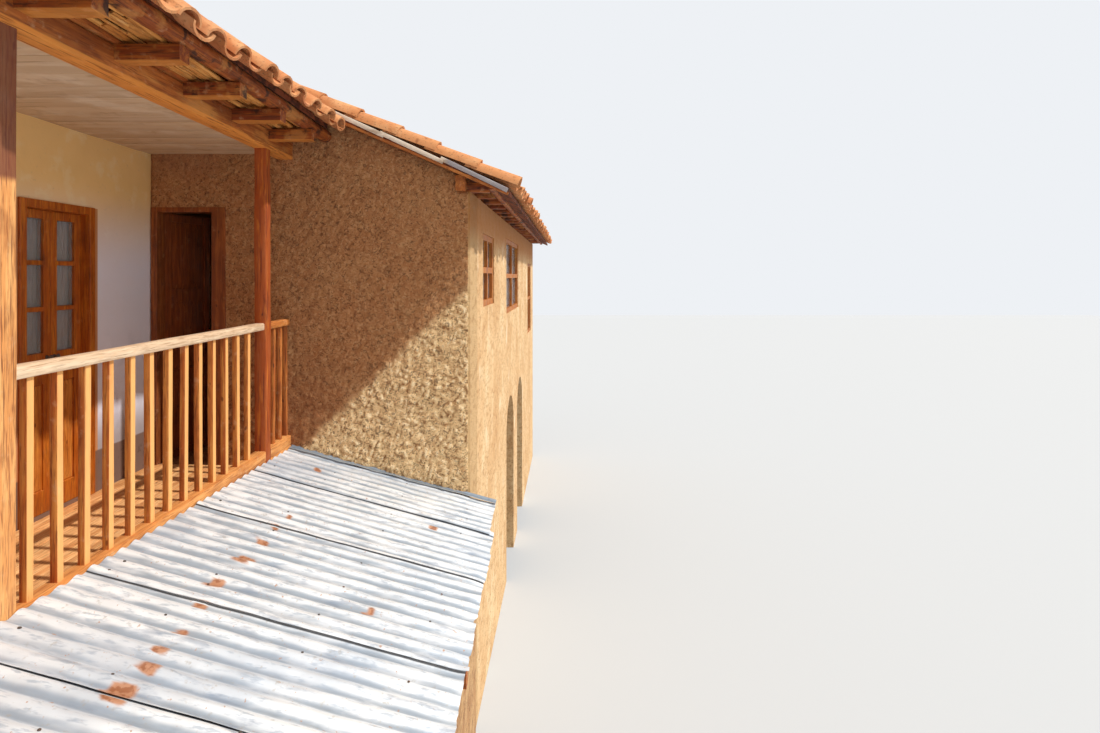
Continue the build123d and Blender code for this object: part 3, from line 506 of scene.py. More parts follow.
# Earth on cane under the tiles: brown and crumbly, and red clay pans show from below at the eaves
makeFinish("mudBed", "#8a5c3a", [
    (noise(60, detail=5), 0.45, 0.7, "#a47850", 0.7),
    (noise(12), 0.6, 0.7, "#3a2416", 0.6),
    # painted shade: past the log the bed is darkened red brown, the clay pans' colour in shade, with near black patches
    # for the shadowed gaps
    ("all", 0, 0, "#7c3a1a", 0.85, ("X", 1.5, 1.6)),
    (noise(60, stretch=(1, 1.6, 1), shift=(1, 1, 8)), 0.42, 0.6, "#341408", 0.85, ("X", 1.5, 1.6)),
], [(noise(20, detail=4), 3.0)], 0.95)
makeFinish("whiteLime", "#ddd2c4", [
    (noise(40, detail=5, stretch=(5, 1, 1)), 0.48, 0.7, "#a08a74", 0.7),
    (noise(200, stretch=(2, 1, 1)), 0.5, 0.7, "#ece6dc", 0.6),
    ("all", 0, 0, "#8d90a0", 0.75, ("X", 2.68, 2.74)),
], [(noise(30, detail=4), 1.5)], 0.85)
makeFinish("oldIron", "#5c5450", [
    (noise(20, detail=4), 0.5, 0.68, "#7e5234", 0.7),
], [(noise(4), 0.2)], 0.6, metal=0.6)
print("finishes made:", len(finishes))


def bedTop(x, step=0.0):
    # height of the earth bed's top, over the plan distance from the ridge
    fall = roof["pitch"] * (roof["logX"] - roof["ridge"] - np.abs(x - roof["ridge"]))
    return roof["under"] + step + roof["bed"] + fall


def arcTile(upper, lower, rise, length, clay, stations=3, arc=9):
    # half a tapering tube of clay: an arc out over the tile and back under it, carried from the upper end to the
    # lower one. Points are (down the slope, across, up).
    turn = np.linspace(0, np.pi, arc)
    far = np.linspace(0, 1, stations)[:, None]
    half = upper + (lower - upper) * far
    sign = np.sign(rise)
    tall = rise + sign * 0.006 * far
    outer = np.stack([half * np.cos(turn), tall * np.sin(turn)], -1)
    inner = np.stack([(half - clay) * np.cos(turn), (tall - sign * clay) * np.sin(turn)], -1)
    ring = np.concatenate([outer, inner[:, ::-1]], 1)
    s = np.broadcast_to(far * length, ring.shape[:2])[..., None]
    return np.concatenate([s, ring], -1)


tiles = {
    "across": 0.26, "show": 0.365, "long": 0.46, "clay": 0.014,
    "coverUpper": 0.07, "coverLower": 0.09, "coverRise": 0.062, "coverSeat": 0.03,
    "panUpper": 0.102, "panLower": 0.09, "panDepth": 0.05,
}


def layTiles(side, step, ends, leans, edge, seed, cover=True, row=None, size=tiles, droop=(0, 0)):
    # tiles in columns down a slope: each lies on the next one below, nudged and turned a little by chance.
    # The slope's own places (down, across, up) become x, y and z by its pitch, then lean with the wing.
    pick = np.random.default_rng(seed)
    cosine = 1 / math.hypot(1, roof["pitch"])
    reach = abs(edge - roof["ridge"]) / cosine
    rows = int(np.ceil((reach - 0.1) / size["show"]))
    show = (reach - 0.05) / rows
    count = round((ends[1] - ends[0]) / size["across"])
    middles = ends[0] + (ends[1] - ends[0]) / count * (np.arange(count) + (0.5 if cover else 1.0))
    if row is not None:
        middles = np.array([row])
    elif not cover:
        middles = np.concatenate([[ends[0] + 0.1], middles[:-1], [ends[1] - 0.1]])
    if cover:
        base = arcTile(size["coverUpper"], size["coverLower"], size["coverRise"], size["long"], size["clay"])
        seat = size["coverSeat"]
    else:
        base = arcTile(size["panUpper"], size["panLower"], -size["panDepth"], size["long"], size["clay"])
        seat = size["panDepth"] + 0.003
    level, column = np.meshgrid(np.arange(rows), middles, indexing="ij")
    level, column = level.ravel(), column.ravel()
    number = len(level)
    lowEnd = reach - level * show + pick.normal(0, 0.009, number)
    lowEnd = lowEnd + np.where(level == 0, pick.normal(0, 0.012, number), 0)
    s = base[None, ..., 0] - size["long"]
    t = base[None, ..., 1] * (1 + pick.normal(0, 0.03, number))[:, None, None]
    n = base[None, ..., 2] * (1 + pick.normal(0, 0.04, number))[:, None, None]
    turn = pick.normal(0, 0.022, number)[:, None, None]
    roll = pick.normal(0, 0.035, number)[:, None, None]
    tilt = size["clay"] * 1.25 / show
    n = n + (s + size["long"]) * tilt + t * roll + seat
    s, t = s - t * turn, t + s * turn
    s = s + lowEnd[:, None, None]
    t = t + (column + pick.normal(0, 0.008, number))[:, None, None]
    n = n + pick.normal(0, 0.002, number)[:, None, None]
    x = s * cosine
    n = n + 0.012 * wander(x, t, 77, 4, 3.2)
    # the last 0.3 m hangs down over the bed's edge, more towards the near end
    n = n - np.clip((s - reach + 0.3) / 0.3, 0, 1) ** 1.5 * (droop[0] + droop[1] * np.clip((2.3 - t) / 1.7, 0, 1))
    sign = 1 if side > 0 else -1
    lift = n * roof["pitch"] * cosine
    worldX = roof["ridge"] + sign * (x + lift) + leans * (t - house["half"])
    worldZ = bedTop(roof["ridge"], step) - s * roof["pitch"] * cosine + n * cosine
    return tubeShape(np.stack([worldX, t, worldZ], -1), pick.random(number))


ridge = {"upper": 0.115, "lower": 0.135, "rise": 0.085, "long": 0.46, "clay": 0.015, "show": 0.38, "over": 0.05,
         "tilt": 0.035, "seat": 0.012}


def ridgeRow(step, ends, leans, seed):
    # wide tapering tiles end over end along the ridge, each over the next
    pick = np.random.default_rng(seed)
    base = arcTile(ridge["upper"], ridge["lower"], ridge["rise"], ridge["long"], ridge["clay"], 3, 11)
    rows = round((ends[1] - ends[0]) / ridge["show"])
    show = (ends[1] - ends[0] - 0.02) / rows
    start = ends[0] + 0.01 + show * np.arange(rows)
    s, t = base[None, ..., 0], base[None, ..., 1]
    y = start[:, None, None] + (s * (show + ridge["over"]) / ridge["long"])
    x = t * (1 + pick.normal(0, 0.03, rows))[:, None, None] + pick.normal(0, 0.008, rows)[:, None, None]
    x = x + (s - ridge["long"] / 2) * pick.normal(0, 0.02, rows)[:, None, None]
    z = base[None, ..., 2] + s * ridge["tilt"] - ridge["seat"]
    z = bedTop(roof["ridge"], step) + roof["tile"] - 0.028 + z + 0 * x
    return tubeShape(np.stack([roof["ridge"] + x + leans * (y - house["half"]), y, z], -1), pick.random(rows))


wideField = (roof["wideEnds"][0] + roof["vergeRow"], roof["wideEnds"][1])
addPiece("nearRoofTiles", joined([
    layTiles(side, 0, roof["nearEnds"], 0, edge, seed + cover, cover, droop=droop)
    for side, edge, seed, droop in (
        (1, roof["galleryEave"] + 0.025, 100, (0.04, 0.035)), (-1, roof["backEave"], 102, (0, 0)))
    for cover in (False, True)
]), "firedClay", ["near_roof_tiles"])
for name, side, edge, seed, swaps in (
    ("wideRoofTiles", 1, roof["sideEave"], 210, ["wide_roof_tiles"]), ("wideBackTiles", -1, roof["backEave"], 230, []),
):
    addPiece(name, joined([
        layTiles(side, roof["step"], wideField, house["lean"], edge, seed + cover, cover) for cover in (False, True)
    ]), "firedClay", swaps)
vergeMiddle = roof["wideEnds"][0] + 0.08
vergeSize = {**tiles, "coverRise": 0.088, "coverSeat": 0.018, "coverUpper": 0.074}
addPiece("vergeTiles", joined([
    layTiles(side, roof["step"], roof["wideEnds"], house["lean"], edge, 301 + side, True, vergeMiddle, vergeSize)
    for side, edge in ((1, roof["sideEave"] + 0.01), (-1, roof["backEave"]))
]), "firedClay", ["verge_tiles"])
addPiece("ridgeTiles", joined([
    ridgeRow(0, roof["nearEnds"], 0, 41),
    ridgeRow(roof["step"], (roof["wideEnds"][0] + 0.1, roof["wideEnds"][1]), house["lean"], 43),
]), "firedClay", ["ridge_tiles"])
print("roof laid")


eave = {
    "joistFirst": 0.426, "joistPitch": 0.567, "joists": 10, "wide": 0.09, "deep": 0.08, "end": 1.725, "joistMid": 5.07,
    "plateX": 1.35, "plateMid": 5.035, "plateWide": 0.12, "plateDeep": 0.14, "logRadius": 0.05,
}
joistPlaces = [house["half"] - eave["joistFirst"] - k * eave["joistPitch"] for k in range(eave["joists"])]
joistPlaces = [y for y in joistPlaces if y - eave["wide"] / 2 > -house["half"]]
pick = np.random.default_rng(9)
joists = []
for k, y in enumerate(joistPlaces):
    tip = (eave["end"] + pick.uniform(-0.012, 0.012), y + pick.uniform(-0.01, 0.01), eave["joistMid"])
    joists.append(beam((house["face"], y, eave["joistMid"]), tip, eave["wide"] * pick.uniform(0.92, 1.05), eave["deep"],
                       corner=0.006, uneven=0.004, seed=20 + k))
addPiece("ceilingJoists", joined(joists), "tailTimber", ["ceiling_joists"])
along = np.linspace(house["south"], house["half"], 44)
logX = roof["logX"] + 0.006 * np.sin(along * 1.7 + 1)
logLine = np.stack([logX, along, roof["logZ"] + 0.005 * np.sin(along * 1.3)], -1)
addPiece("eaveLog", pole(logLine, eave["logRadius"], 4, 16, 0.07), "tailTimber", ["eave_purlin"])
plateEnds = [(eave["plateX"], y, eave["plateMid"]) for y in (-house["half"], house["half"])]
addPiece("galleryPlateBeam", beam(*plateEnds, eave["plateWide"], eave["plateDeep"], corner=0.01, uneven=0.004, seed=61),
         "plateTimber", ["gallery_plate"])

# Split sticks and offcuts over the tails, laid along the eave and fanned a little
stick = {"bays": 5, "bayLong": 1.16, "each": 9, "firstX": 1.43, "apart": 0.026, "height": 5.122}
sticks = []
for bayNumber in range(stick["bays"]):
    begin = house["half"] - stick["bayLong"] * bayNumber
    for number in range(stick["each"]):
        x = stick["firstX"] + stick["apart"] * number + pick.uniform(-0.008, 0.008)
        fan = pick.uniform(-0.035, 0.045)
        last = begin - pick.uniform(0.0, 0.25) - 0.006
        first = max(last - pick.uniform(0.9, 1.35), house["south"] + 0.02)
        height = stick["height"] + pick.uniform(0, 0.022) + 0.012 * (number % 2)
        start = (x - fan, first, height + pick.uniform(-0.004, 0.01))
        wide, deep = pick.uniform(0.016, 0.036), pick.uniform(0.01, 0.018)
        up = (pick.uniform(-0.5, 0.5), 0, 1)
        sticks.append(beam(start, (x + fan, last, height), wide, deep, up, corner=0.004, uneven=0.0025, step=0.11,
                           seed=400 + 12 * bayNumber + number, bow=pick.uniform(-0.014, 0.014)))
addPiece("eaveSticks", joined(sticks), "splitStick")
print("gallery eave made")


# kerb, sill and rail: height of the middle, width, depth, corner and unevenness
gallery = {
    "bay": 2.3, "post": 0.09, "mid": 1.35, "baluster": 0.035, "first": 0.095, "apart": 0.159, "bayCount": 13,
    "endCount": 3, "foot": 2.675, "head": 3.595, "kerb": (2.5, 0.09, 0.2, 0.007, 0.002),
    "sill": (2.64, 0.09, 0.08, 0.009, 0.003), "rail": (3.617, 0.07, 0.054, 0.011, 0.002),
    "floorMid": 2.415, "floorEnd": 1.305, "floorBoard": 0.03, "ceilingMid": 5.02, "ceilingEnd": 1.29,
    "ceilingBoard": 0.02,
}
postPlaces = [-gallery["bay"], 0.0, gallery["bay"]]
addPiece("galleryPosts", joined([
    beam((gallery["mid"], y, 0), (gallery["mid"], y, house["plate"]), gallery["post"], gallery["post"], (0, 1, 0),
         corner=0.009, uneven=0.0035, seed=70 + k)
    for k, y in enumerate(postPlaces)
]), "postTimber", ["gallery_posts"])
halfPost = gallery["post"] / 2
spans = [(-house["half"], postPlaces[0] - halfPost)]
spans += [(a + halfPost, b - halfPost) for a, b in zip(postPlaces, postPlaces[1:])]
spans += [(postPlaces[-1] + halfPost, house["half"])]
bayPlaces = gallery["first"] + gallery["apart"] * np.arange(gallery["bayCount"])
endClear = spans[-1][1] - spans[-1][0]
endPlaces = (np.arange(gallery["endCount"]) + 1) * (endClear - gallery["baluster"] / 2) / gallery["endCount"]
placesOf = [endClear - endPlaces, bayPlaces, bayPlaces, endPlaces]
lastPlace = house["half"] - 0.02


def railing(kind, a, b, seed):
    # one of the timbers between the posts, from a to b along the gallery
    z, wide, deep, corner, uneven = gallery[kind]
    return beam((gallery["mid"], a, z), (gallery["mid"], b, z), wide, deep, corner=corner, uneven=uneven, seed=seed)


kerbs, sills, rails, balusters, ends = [], [], [], [], []
for k, (a, b) in enumerate(spans):
    inBay = k in (1, 2)
    kerbs.append(railing("kerb", a, b, 80 + k))
    sills.append(railing("sill", a, b, 90 + k))
    (rails if inBay else ends).append(railing("rail", a, b, 100 + k))
    for number, place in enumerate(placesOf[k]):
        y = a + place
        wide = gallery["baluster"] * pick.uniform(0.95, 1.1)
        top = min(y + pick.uniform(-0.007, 0.007), lastPlace)
        foot = (gallery["mid"], min(y, lastPlace), gallery["foot"])
        head = (gallery["mid"] + pick.uniform(-0.003, 0.003), top, gallery["head"])
        (balusters if inBay else ends).append(beam(foot, head, wide, gallery["baluster"], (0, 1, 0), corner=0.004,
                                                   uneven=0.0012, seed=200 + 20 * k + number))
# the end bays' rail and balusters take the darker old timber as painted shade, for the shade those bays stand in
for name, parts, finish, slotName, swaps in (
    ("galleryKerb", kerbs, "sillTimber", "pale_timber", ["gallery_kerb"]),
    ("gallerySill", sills, "sillTimber", "pale_timber", []),
    ("galleryEndRailing", ends, "oldTimber", "old_timber", []),
    ("galleryRails", rails, "railTimber", "pale_timber", ["gallery_railing"]),
    ("galleryBalusters", balusters, "balusterTimber", "pale_timber", []),
):
    addPiece(name, joined(parts), finish, swaps)

edges = np.linspace(house["face"], gallery["floorEnd"], 8)
boards = []
for k, x in enumerate((edges[:-1] + edges[1:]) / 2):
    boards.append(beam((x, -house["half"], gallery["floorMid"]), (x, house["half"], gallery["floorMid"]),
                       edges[1] - edges[0] - 0.004, gallery["floorBoard"], corner=0.003, uneven=0.0008, seed=300 + k))
addPiece("galleryFloor", joined(boards), "floorBoard", ["gallery_floor_boards"])
edges = [-house["half"]]
while edges[-1] < house["half"] - 0.2:
    edges.append(edges[-1] + pick.uniform(0.17, 0.25))
edges.append(house["half"])
boards = []
for k, (a, b) in enumerate(zip(edges, edges[1:])):
    y, z = (a + b) / 2, gallery["ceilingMid"] + pick.uniform(-0.001, 0.0025)
    boards.append(beam((house["face"], y, z), (gallery["ceilingEnd"], y, z), b - a - 0.003, gallery["ceilingBoard"],
                       corner=0.002, uneven=0.0012, seed=340 + k))
addPiece("galleryCeiling", joined(boards), "ceilingBoard", ["gallery_soffit"])
print("gallery made")


sideEave = {
    "top": 4.7034, "plateOut": 2.85, "plateIn": 2.77, "plateMid": 4.768, "plateDeep": 0.13, "innerX": 2.547,
    "inner": 0.09, "innerMid": 4.828, "innerEnd": 10.84, "tailWide": 0.09, "tailDeep": 0.08, "tailFirst": 0.015, "tailPitch": 0.425,
    "tails": 20, "tailStart": 2.5, "tailEnd": 3.042, "battenX": 3.067, "battenMid": 4.735, "battenFrom": 2.62,
    "batten": (0.05, 0.06),
}
lean, half = house["lean"], house["half"]


def leaning(x, y):
    # x moved out by the wing's lean in plan, over the distance past the gallery wing's end
    return x + lean * (y - half)


def leanBeam(x, a, b, z, wide, deep, **more):
    # a beam that runs along the wide wing from a to b and leans with it
    return beam((leaning(x, a), a, z), (leaning(x, b), b, z), wide, deep, **more)


def underWide(x):
    # height of the earth bed's underside over the wide wing: it falls with the pitch
    return roof["under"] + roof["step"] + roof["pitch"] * (roof["logX"] - x)


tails = []
z = sideEave["top"] + sideEave["tailDeep"] / 2
for k in range(sideEave["tails"]):
    y = half + sideEave["tailFirst"] + k * sideEave["tailPitch"] + sideEave["tailWide"] / 2
    if y + sideEave["tailWide"] / 2 > house["north"]:
        break
    start, end = ((leaning(x, y), y, z) for x in (sideEave["tailStart"], sideEave["tailEnd"]))
    tails.append(beam(start, end, sideEave["tailWide"] * pick.uniform(0.9, 1.05), sideEave["tailDeep"],
                      corner=0.007, uneven=0.004, seed=500 + k))
addPiece("sideTails", joined(tails), "tailTimber", ["side_tails"])
addPiece("sidePlates", joined([
    leanBeam((sideEave["plateOut"] + sideEave["plateIn"]) / 2, half - 0.06, house["north"], sideEave["plateMid"], 0.08,
             sideEave["plateDeep"], corner=0.008, uneven=0.003, seed=530),
    leanBeam(sideEave["innerX"], half + 0.4, sideEave["innerEnd"], sideEave["innerMid"], sideEave["inner"],
             sideEave["inner"], corner=0.008, seed=531),
]), "oldTimber", ["side_plates"])
addPiece("sideBatten", leanBeam(sideEave["battenX"], sideEave["battenFrom"], roof["wideEnds"][1], sideEave["battenMid"],
         *sideEave["batten"], corner=0.012, uneven=0.004, seed=540), "tailTimber", ["side_eave_batten"])

vergeBoard = {"ends": (1.785, 3.207), "y": 2.605, "below": 0.0145, "wide": 0.03, "deep": 0.024}
boardEnds = [(x, vergeBoard["y"], underWide(x) - vergeBoard["below"]) for x in vergeBoard["ends"]]
addPiece("vergeBoard", beam(*boardEnds, vergeBoard["wide"], vergeBoard["deep"], corner=0.004, uneven=0.001, seed=550),
         "oldTimber", ["verge_board"])
# the pale strip between the board and the tiles, in three lengths that lap
strips = []
for a, b, begins, ends in ((1.78, 2.2, 0.034, 0.02), (2.17, 2.68, 0.03, 0.014), (2.66, 3.2, 0.034, 0.008)):
    strips.append(beam((a, 2.584, underWide(a) + begins), (b, 2.581, underWide(b) + ends), 0.016, 0.034,
                       corner=0.004, uneven=0.003, step=0.04, seed=560 + int(10 * a)))
addPiece("vergeStrip", joined(strips), "whiteLime")
print("wide wing eave made")


leanTo = {
    "slope": 0.2747, "tilt": 0.042, "top": 2.585, "seat": 0.0218, "xTop": 1.395, "reach": 1.74, "wave": 0.098,
    "crest": 0.44, "rise": 0.018, "gauge": 0.0012, "overlap": 0.05, "rows": 58,
    "laps": [-3.19, -2.45, -1.71, -0.97, -0.23, 0.41, 1.30, 2.06, 2.735],
}
fallCos = 1 / math.hypot(1, leanTo["slope"])
slopeWay = np.array([fallCos, 0, -fallCos * leanTo["slope"]])
eaveWay = np.array([0, 1, -leanTo["tilt"]])
sheetUp = np.cross(slopeWay, eaveWay)
sheetUp = sheetUp / np.linalg.norm(sheetUp)
# where old fixings bled rust: x, y and half the size of each patch
rustSpots = [
    (1.74, 2.39, 0.02), (1.88, 1.48, 0.016), (1.874, 1.29, 0.016), (1.895, 1.065, 0.034), (1.898, 0.852, 0.038),
    (1.887, 0.573, 0.036), (1.925, 0.382, 0.024), (1.959, 0.176, 0.026), (1.96, 0.053, 0.026), (1.975, -0.052, 0.03),
    (1.963, -0.216, 0.045), (1.95, -0.8, 0.04), (1.93, -1.5, 0.03), (1.97, -2.2, 0.04), (2.72, 1.9, 0.02),
    (2.6, 0.7, 0.022),
]


def sheetPoint(s, y, n):
    # a place down the slope, along the wall and up from the sheet's seat, in x, y and z
    start = np.array([leanTo["xTop"], house["half"], leanTo["top"] - leanTo["seat"]])
    return start + s[..., None] * slopeWay + (y - house["half"])[..., None] * eaveWay + n[..., None] * sheetUp


sheets, marks = [], []
for k, (a, b) in enumerate(zip(leanTo["laps"], leanTo["laps"][1:])):
    over = leanTo["overlap"] if k < len(leanTo["laps"]) - 2 else 0.0
    y = np.linspace(a, b + over, int((b - a + over) / 0.0085))
    length = leanTo["reach"] / fallCos
    s = np.linspace(0.0, 1.0, leanTo["rows"])[:, None]
    edge = length - 0.01 - 0.01 * lattice(y, 0 * y + k, 0.06, 5) - 0.02 * (k % 3 == 1) - 0.01 * (k % 2)
    torn = np.clip(lattice(y, 0 * y + 3.3 * k, 0.11, 8) - 0.85, 0, 1) * 0.12
    down = s * (edge - torn)[None]
    yy = np.broadcast_to(y, down.shape)
    phase = (1 + np.cos(2 * np.pi * (yy - leanTo["crest"] + 0.01 * np.sin(down * 1.1)) / leanTo["wave"])) / 2
    # the flatter waves, dents and lifted near edge of old sheets
    wave = leanTo["rise"] * phase * (1 - 0.3 * np.clip(wander(down, yy, 60, 5, 0.7), 0, 1))
    lift = np.exp(-((yy - a) / 0.07) ** 2) * (0.003 + 0.007 * (1 + wander(down, yy, 90 + k, 4, 1.2)) / 2) * (k > 0)
    dent = 0.004 * np.abs(wander(down, yy, 30, 6, 0.9))
    curl = 0.012 * np.clip((down - length + 0.15) / 0.15, 0, 1) ** 2 * wander(yy, down, 33, 4, 0.35)
    place = sheetPoint(down, yy, 0.0012 + wave + lift + dent + curl)
    tone = phase + 0.25 * wander(down, yy, 120 + k, 6, 0.5) + (0.12, -0.1, 0.05, -0.04)[k % 4]
    mark = 0.0 * yy
    for x, at, size in rustSpots:
        far = np.maximum(np.abs(place[..., 0] - x), np.abs(yy - at)) + 0.012 * wander(down, yy, 140, 5, 0.08)
        mark = np.maximum(mark, np.clip((1.3 * size - far) / (0.45 * size), 0, 1))
    # dirt and painted shadow: a dark band along the lap, under the next sheet's lifted edge
    mark = np.where((yy > b - 0.004) & (yy < b + 0.005) & (over > 0), -1.0, mark)
    ring = np.concatenate([place + leanTo["gauge"] * sheetUp, place[:, ::-1]], 1)
    sheets.append(tubeShape(ring, np.concatenate([tone, tone[:, ::-1]], 1).ravel()))
    marks.append(np.concatenate([mark, mark[:, ::-1]], 1).ravel())
sheeting = addPiece("corrugatedSheets", joined(sheets), "galvanised", ["corrugated_sheets"],
                    sharp=60)
addField(sheeting.data, "mark", np.concatenate(marks))


def nailRings(s, y, size):
    # a domed nail head standing on a crest: four rings that close over it
    rings = [(1.0, 0.0), (0.95, 0.0018), (0.5, 0.0026), (0.12, 0.0034)]
    spin = np.linspace(0, 2 * np.pi, 8, endpoint=False)
    down, across = size * np.cos(spin), size * np.sin(spin)
    crest = leanTo["rise"] + 0.003
    return tubeShape(np.stack([sheetPoint(s + r * down, y + r * across, crest + h + 0 * spin) for r, h in rings]), 0.5)


nails = []
for s in (0.50, 1.05, 1.55):
    for crest in np.arange(-36, 23, 3):
        y = leanTo["crest"] + (crest + pick.integers(-1, 2)) * leanTo["wave"]
        if -3.15 < y < 2.7 and pick.random() < 0.8:
            nails.append(nailRings(s + pick.uniform(-0.03, 0.03), y, 0.006))
for lap in leanTo["laps"][1:-1]:
    crest = leanTo["crest"] + np.ceil((lap - leanTo["crest"]) / leanTo["wave"]) * leanTo["wave"]
    for s, y in ((0.08, crest), (0.085, crest + leanTo["wave"])):
        nails.append(nailRings(s, y, 0.0075))
addPiece("roofNails", joined(nails), "oldIron")

strips = []
for k, (a, b) in enumerate([(0.0, 1.33), (1.27, 1.76)]):
    s = np.linspace(a, b, 60)[:, None]
    fold = np.array([(2.668, 0.006), (2.695, 0.003), (2.722, 0.004), (2.731, 0.016), (2.732, 0.055), (2.731, 0.088)])
    y = fold[None, :, 0] + np.where(np.arange(6) < 2, 0.012 * wander(s, 0 * s, 12 + k, 6, 0.4), 0)
    n = fold[None, :, 1] + 0.022 + 0.004 * k + np.where(np.arange(6) > 3, 0.01 * wander(s, 0 * s, 15 + k, 5, 0.5), 0) \
        + np.where(np.arange(6) < 2, 0.004 * wander(s, 0 * s, 19 + k, 6, 0.3), 0)
    n = 0.03 + (n - 0.03) * np.where(n > 0.05, np.clip((1.53 - s) / 0.12, 0.1, 1), 1.0)  # past the wall it lies flat
    top = sheetPoint(s + 0 * y, y - 0.001, n + 0.001)
    low = sheetPoint(s + 0 * y, y, n)
    pale = np.tile([1.0, 0.2, 0, 0, 0, 0.9, 0.9, 0, 0, 0, 0.2, 1.0], len(s))
    strips.append(tubeShape(np.concatenate([top, low[:, ::-1]], 1), pale))
addPiece("wallFlashing", joined(strips), "darkZinc", ["wall_flashing"], sharp=60)
print("lean-to roofed")


mud = {"proud": 0.003, "from": 0.226, "low": 2.12, "high": 5.0, "doorFrom": 0.235, "doorTo": 0.855, "doorTop": 4.57}


def crumbs(u, v, size, seed):
    # rounded lumps with sharp valleys between them: value noise folded about its middle
    return np.abs(2 * lattice(u, v, size, seed) - 1)


def endWallPlaster():
    # a sheet over the wall's face: upright rows of points whose height runs to the roof, pushed out by lumps of
    # four sizes; the edges turn back into the wall, and the doorway is left out
    x = np.concatenate([[mud["from"], mud["doorFrom"]], np.linspace(0.25, 0.84, 44), [mud["doorTo"]],
                        np.linspace(0.865, house["corner"], 200)])
    z = np.concatenate([np.linspace(mud["low"], mud["doorTop"], 240), np.linspace(4.584, mud["high"], 34)])
    top = np.minimum(underWide(x), np.where(x > sideEave["plateIn"], sideEave["top"], 9.0)) - 0.001
    over = mud["high"] + (top[:, None] - mud["high"]) * np.linspace(0.05, 1, 30)
    rows = np.concatenate([np.broadcast_to(z, (len(x), len(z))), over], 1)
    rows = np.minimum(rows, top[:, None])
    xx = np.broadcast_to(x[:, None], rows.shape)
    bend = 0.03 * lattice(xx, rows, 0.1, 9)
    alongA, acrossA = 0.57 * xx + 0.82 * rows + bend, 0.82 * xx - 0.57 * rows
    alongB, acrossB = 0.34 * xx + 0.94 * rows, 0.94 * xx - 0.34 * rows + bend
    relief = 0.008 * lattice(xx, rows, 0.19, 1) + 0.008 * crumbs(0.6 * alongA, acrossA, 0.05, 2)
    relief = relief + 0.0065 * crumbs(0.7 * alongB, acrossB, 0.033, 3) + 0.003 * lattice(xx, rows, 0.02, 4)
    crumble = np.exp(-(((xx - 0.56) / 0.42) ** 2 + ((rows - 4.64) / 0.06) ** 2))
    relief = relief + 0.012 * crumble * crumbs(xx, rows, 0.05, 6)
    # painted light and shade: the crumbs' upper sides are painted light and their undersides brown, by the slope of the
    # relief, up and outward
    cell = 0.01
    fallX = np.diff(relief, axis=0, append=relief[-1:]) / cell
    fallZ = np.diff(relief, axis=1, append=relief[:, -1:]) / cell
    paintedCrumbShading = np.clip(0.5 - 1.1 * (0.7 * fallX + 0.7 * fallZ), 0, 1)
    rim = np.minimum.reduce([xx - mud["from"], house["corner"] - xx, top[:, None] - rows]) / 0.02
    y = half - (mud["proud"] + relief) * np.clip(rim, 0, 1) + 0.002 * (rim <= 0)
    points = np.stack([xx, y, rows], -1)
    near = 1e-4
    inDoor = (xx[:-1, :-1] >= mud["doorFrom"] - near) & (xx[1:, 1:] <= mud["doorTo"] + near)
    inDoor &= (rows[:-1, :-1] >= house["floor"] - 0.02) & (rows[1:, 1:] <= mud["doorTop"] + near)
    # the corner that the eave doesn't shelter gets a painted sunlit patch: below a line that falls from the corner to
    # the lean-to
    below = (2.76 + 0.98 * (xx - 1.7) - rows) / 0.1 + 0.35 * wander(xx, rows, 15, 6, 0.3)
    flat = points.reshape(-1, 3)
    shape = flat, gridFaces(points.shape[0], points.shape[1], ~inDoor), flat.copy(), paintedCrumbShading.ravel()
    return shape, np.clip(0.5 + 0.5 * below, 0, 1).ravel()


shape, paintedSunlight = endWallPlaster()
plaster = addPiece("endWallPlaster", shape, "strawMud", closed=False, sharp=180)
addField(plaster.data, "mark", paintedSunlight)
print("end wall plastered")


def softened(nodeName, name, finish, width):
    # a copy of the piece's own mesh, its doubles merged, with small rounded edges
    mesh = nodes[nodeName].data.copy()
    mesh.name = name
    mesh.materials.clear()
    mesh.materials.append(finishes[finish])
    piece = bpy.data.objects.new(name, mesh)
    bpy.context.scene.collection.objects.link(piece)
    weld = piece.modifiers.new("weld", "WELD")
    weld.merge_threshold = 0.0001
    bevel = piece.modifiers.new("edges", "BEVEL")
    bevel.width, bevel.segments, bevel.limit_method, bevel.angle_limit = width, 2, "ANGLE", math.radians(40)
    bevel.harden_normals = True
    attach(piece, "root")
    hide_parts(nodeName)


for nodeName, name, finish, slotName, width in (
    ("french_door_frame", "frenchDoorFrame", "doorTimber", "dark_timber", 0.004),
    ("french_door_leaves", "frenchDoorLeaves", "doorTimber", "dark_timber", 0.003),
    ("end_door_frame", "endDoorFrame", "jambTimber", "old_timber", 0.005),
    ("end_door_leaf", "endDoorLeaf", "darkDoor", "dark_timber", 0.004),
    ("side_window_frames", "sideWindowFrames", "windowTimber", "old_timber", 0.004),
):
    softened(nodeName, name, finish, width)


def raisedField(corner, along, out, wide, high, proud, slope):
    # a panel's raised middle: a flat face before a bevel all round and a thin edge. corner is its lower near corner,
    # on the panel's face
    corner, along, out = (np.array(value, float) for value in (corner, along, out))
    up = np.array([0.0, 0.0, 1.0])
    rings = []
    for inset, height in ((0, -0.001), (0, 0.002), (slope, proud - 0.002), (slope + 0.006, proud)):
        for u, v in ((inset, inset), (wide - inset, inset), (wide - inset, high - inset), (inset, high - inset)):
            rings.append(corner + along * u + up * v + out * height)
    return tubeShape(np.array(rings).reshape(4, 4, 3), 0.0)


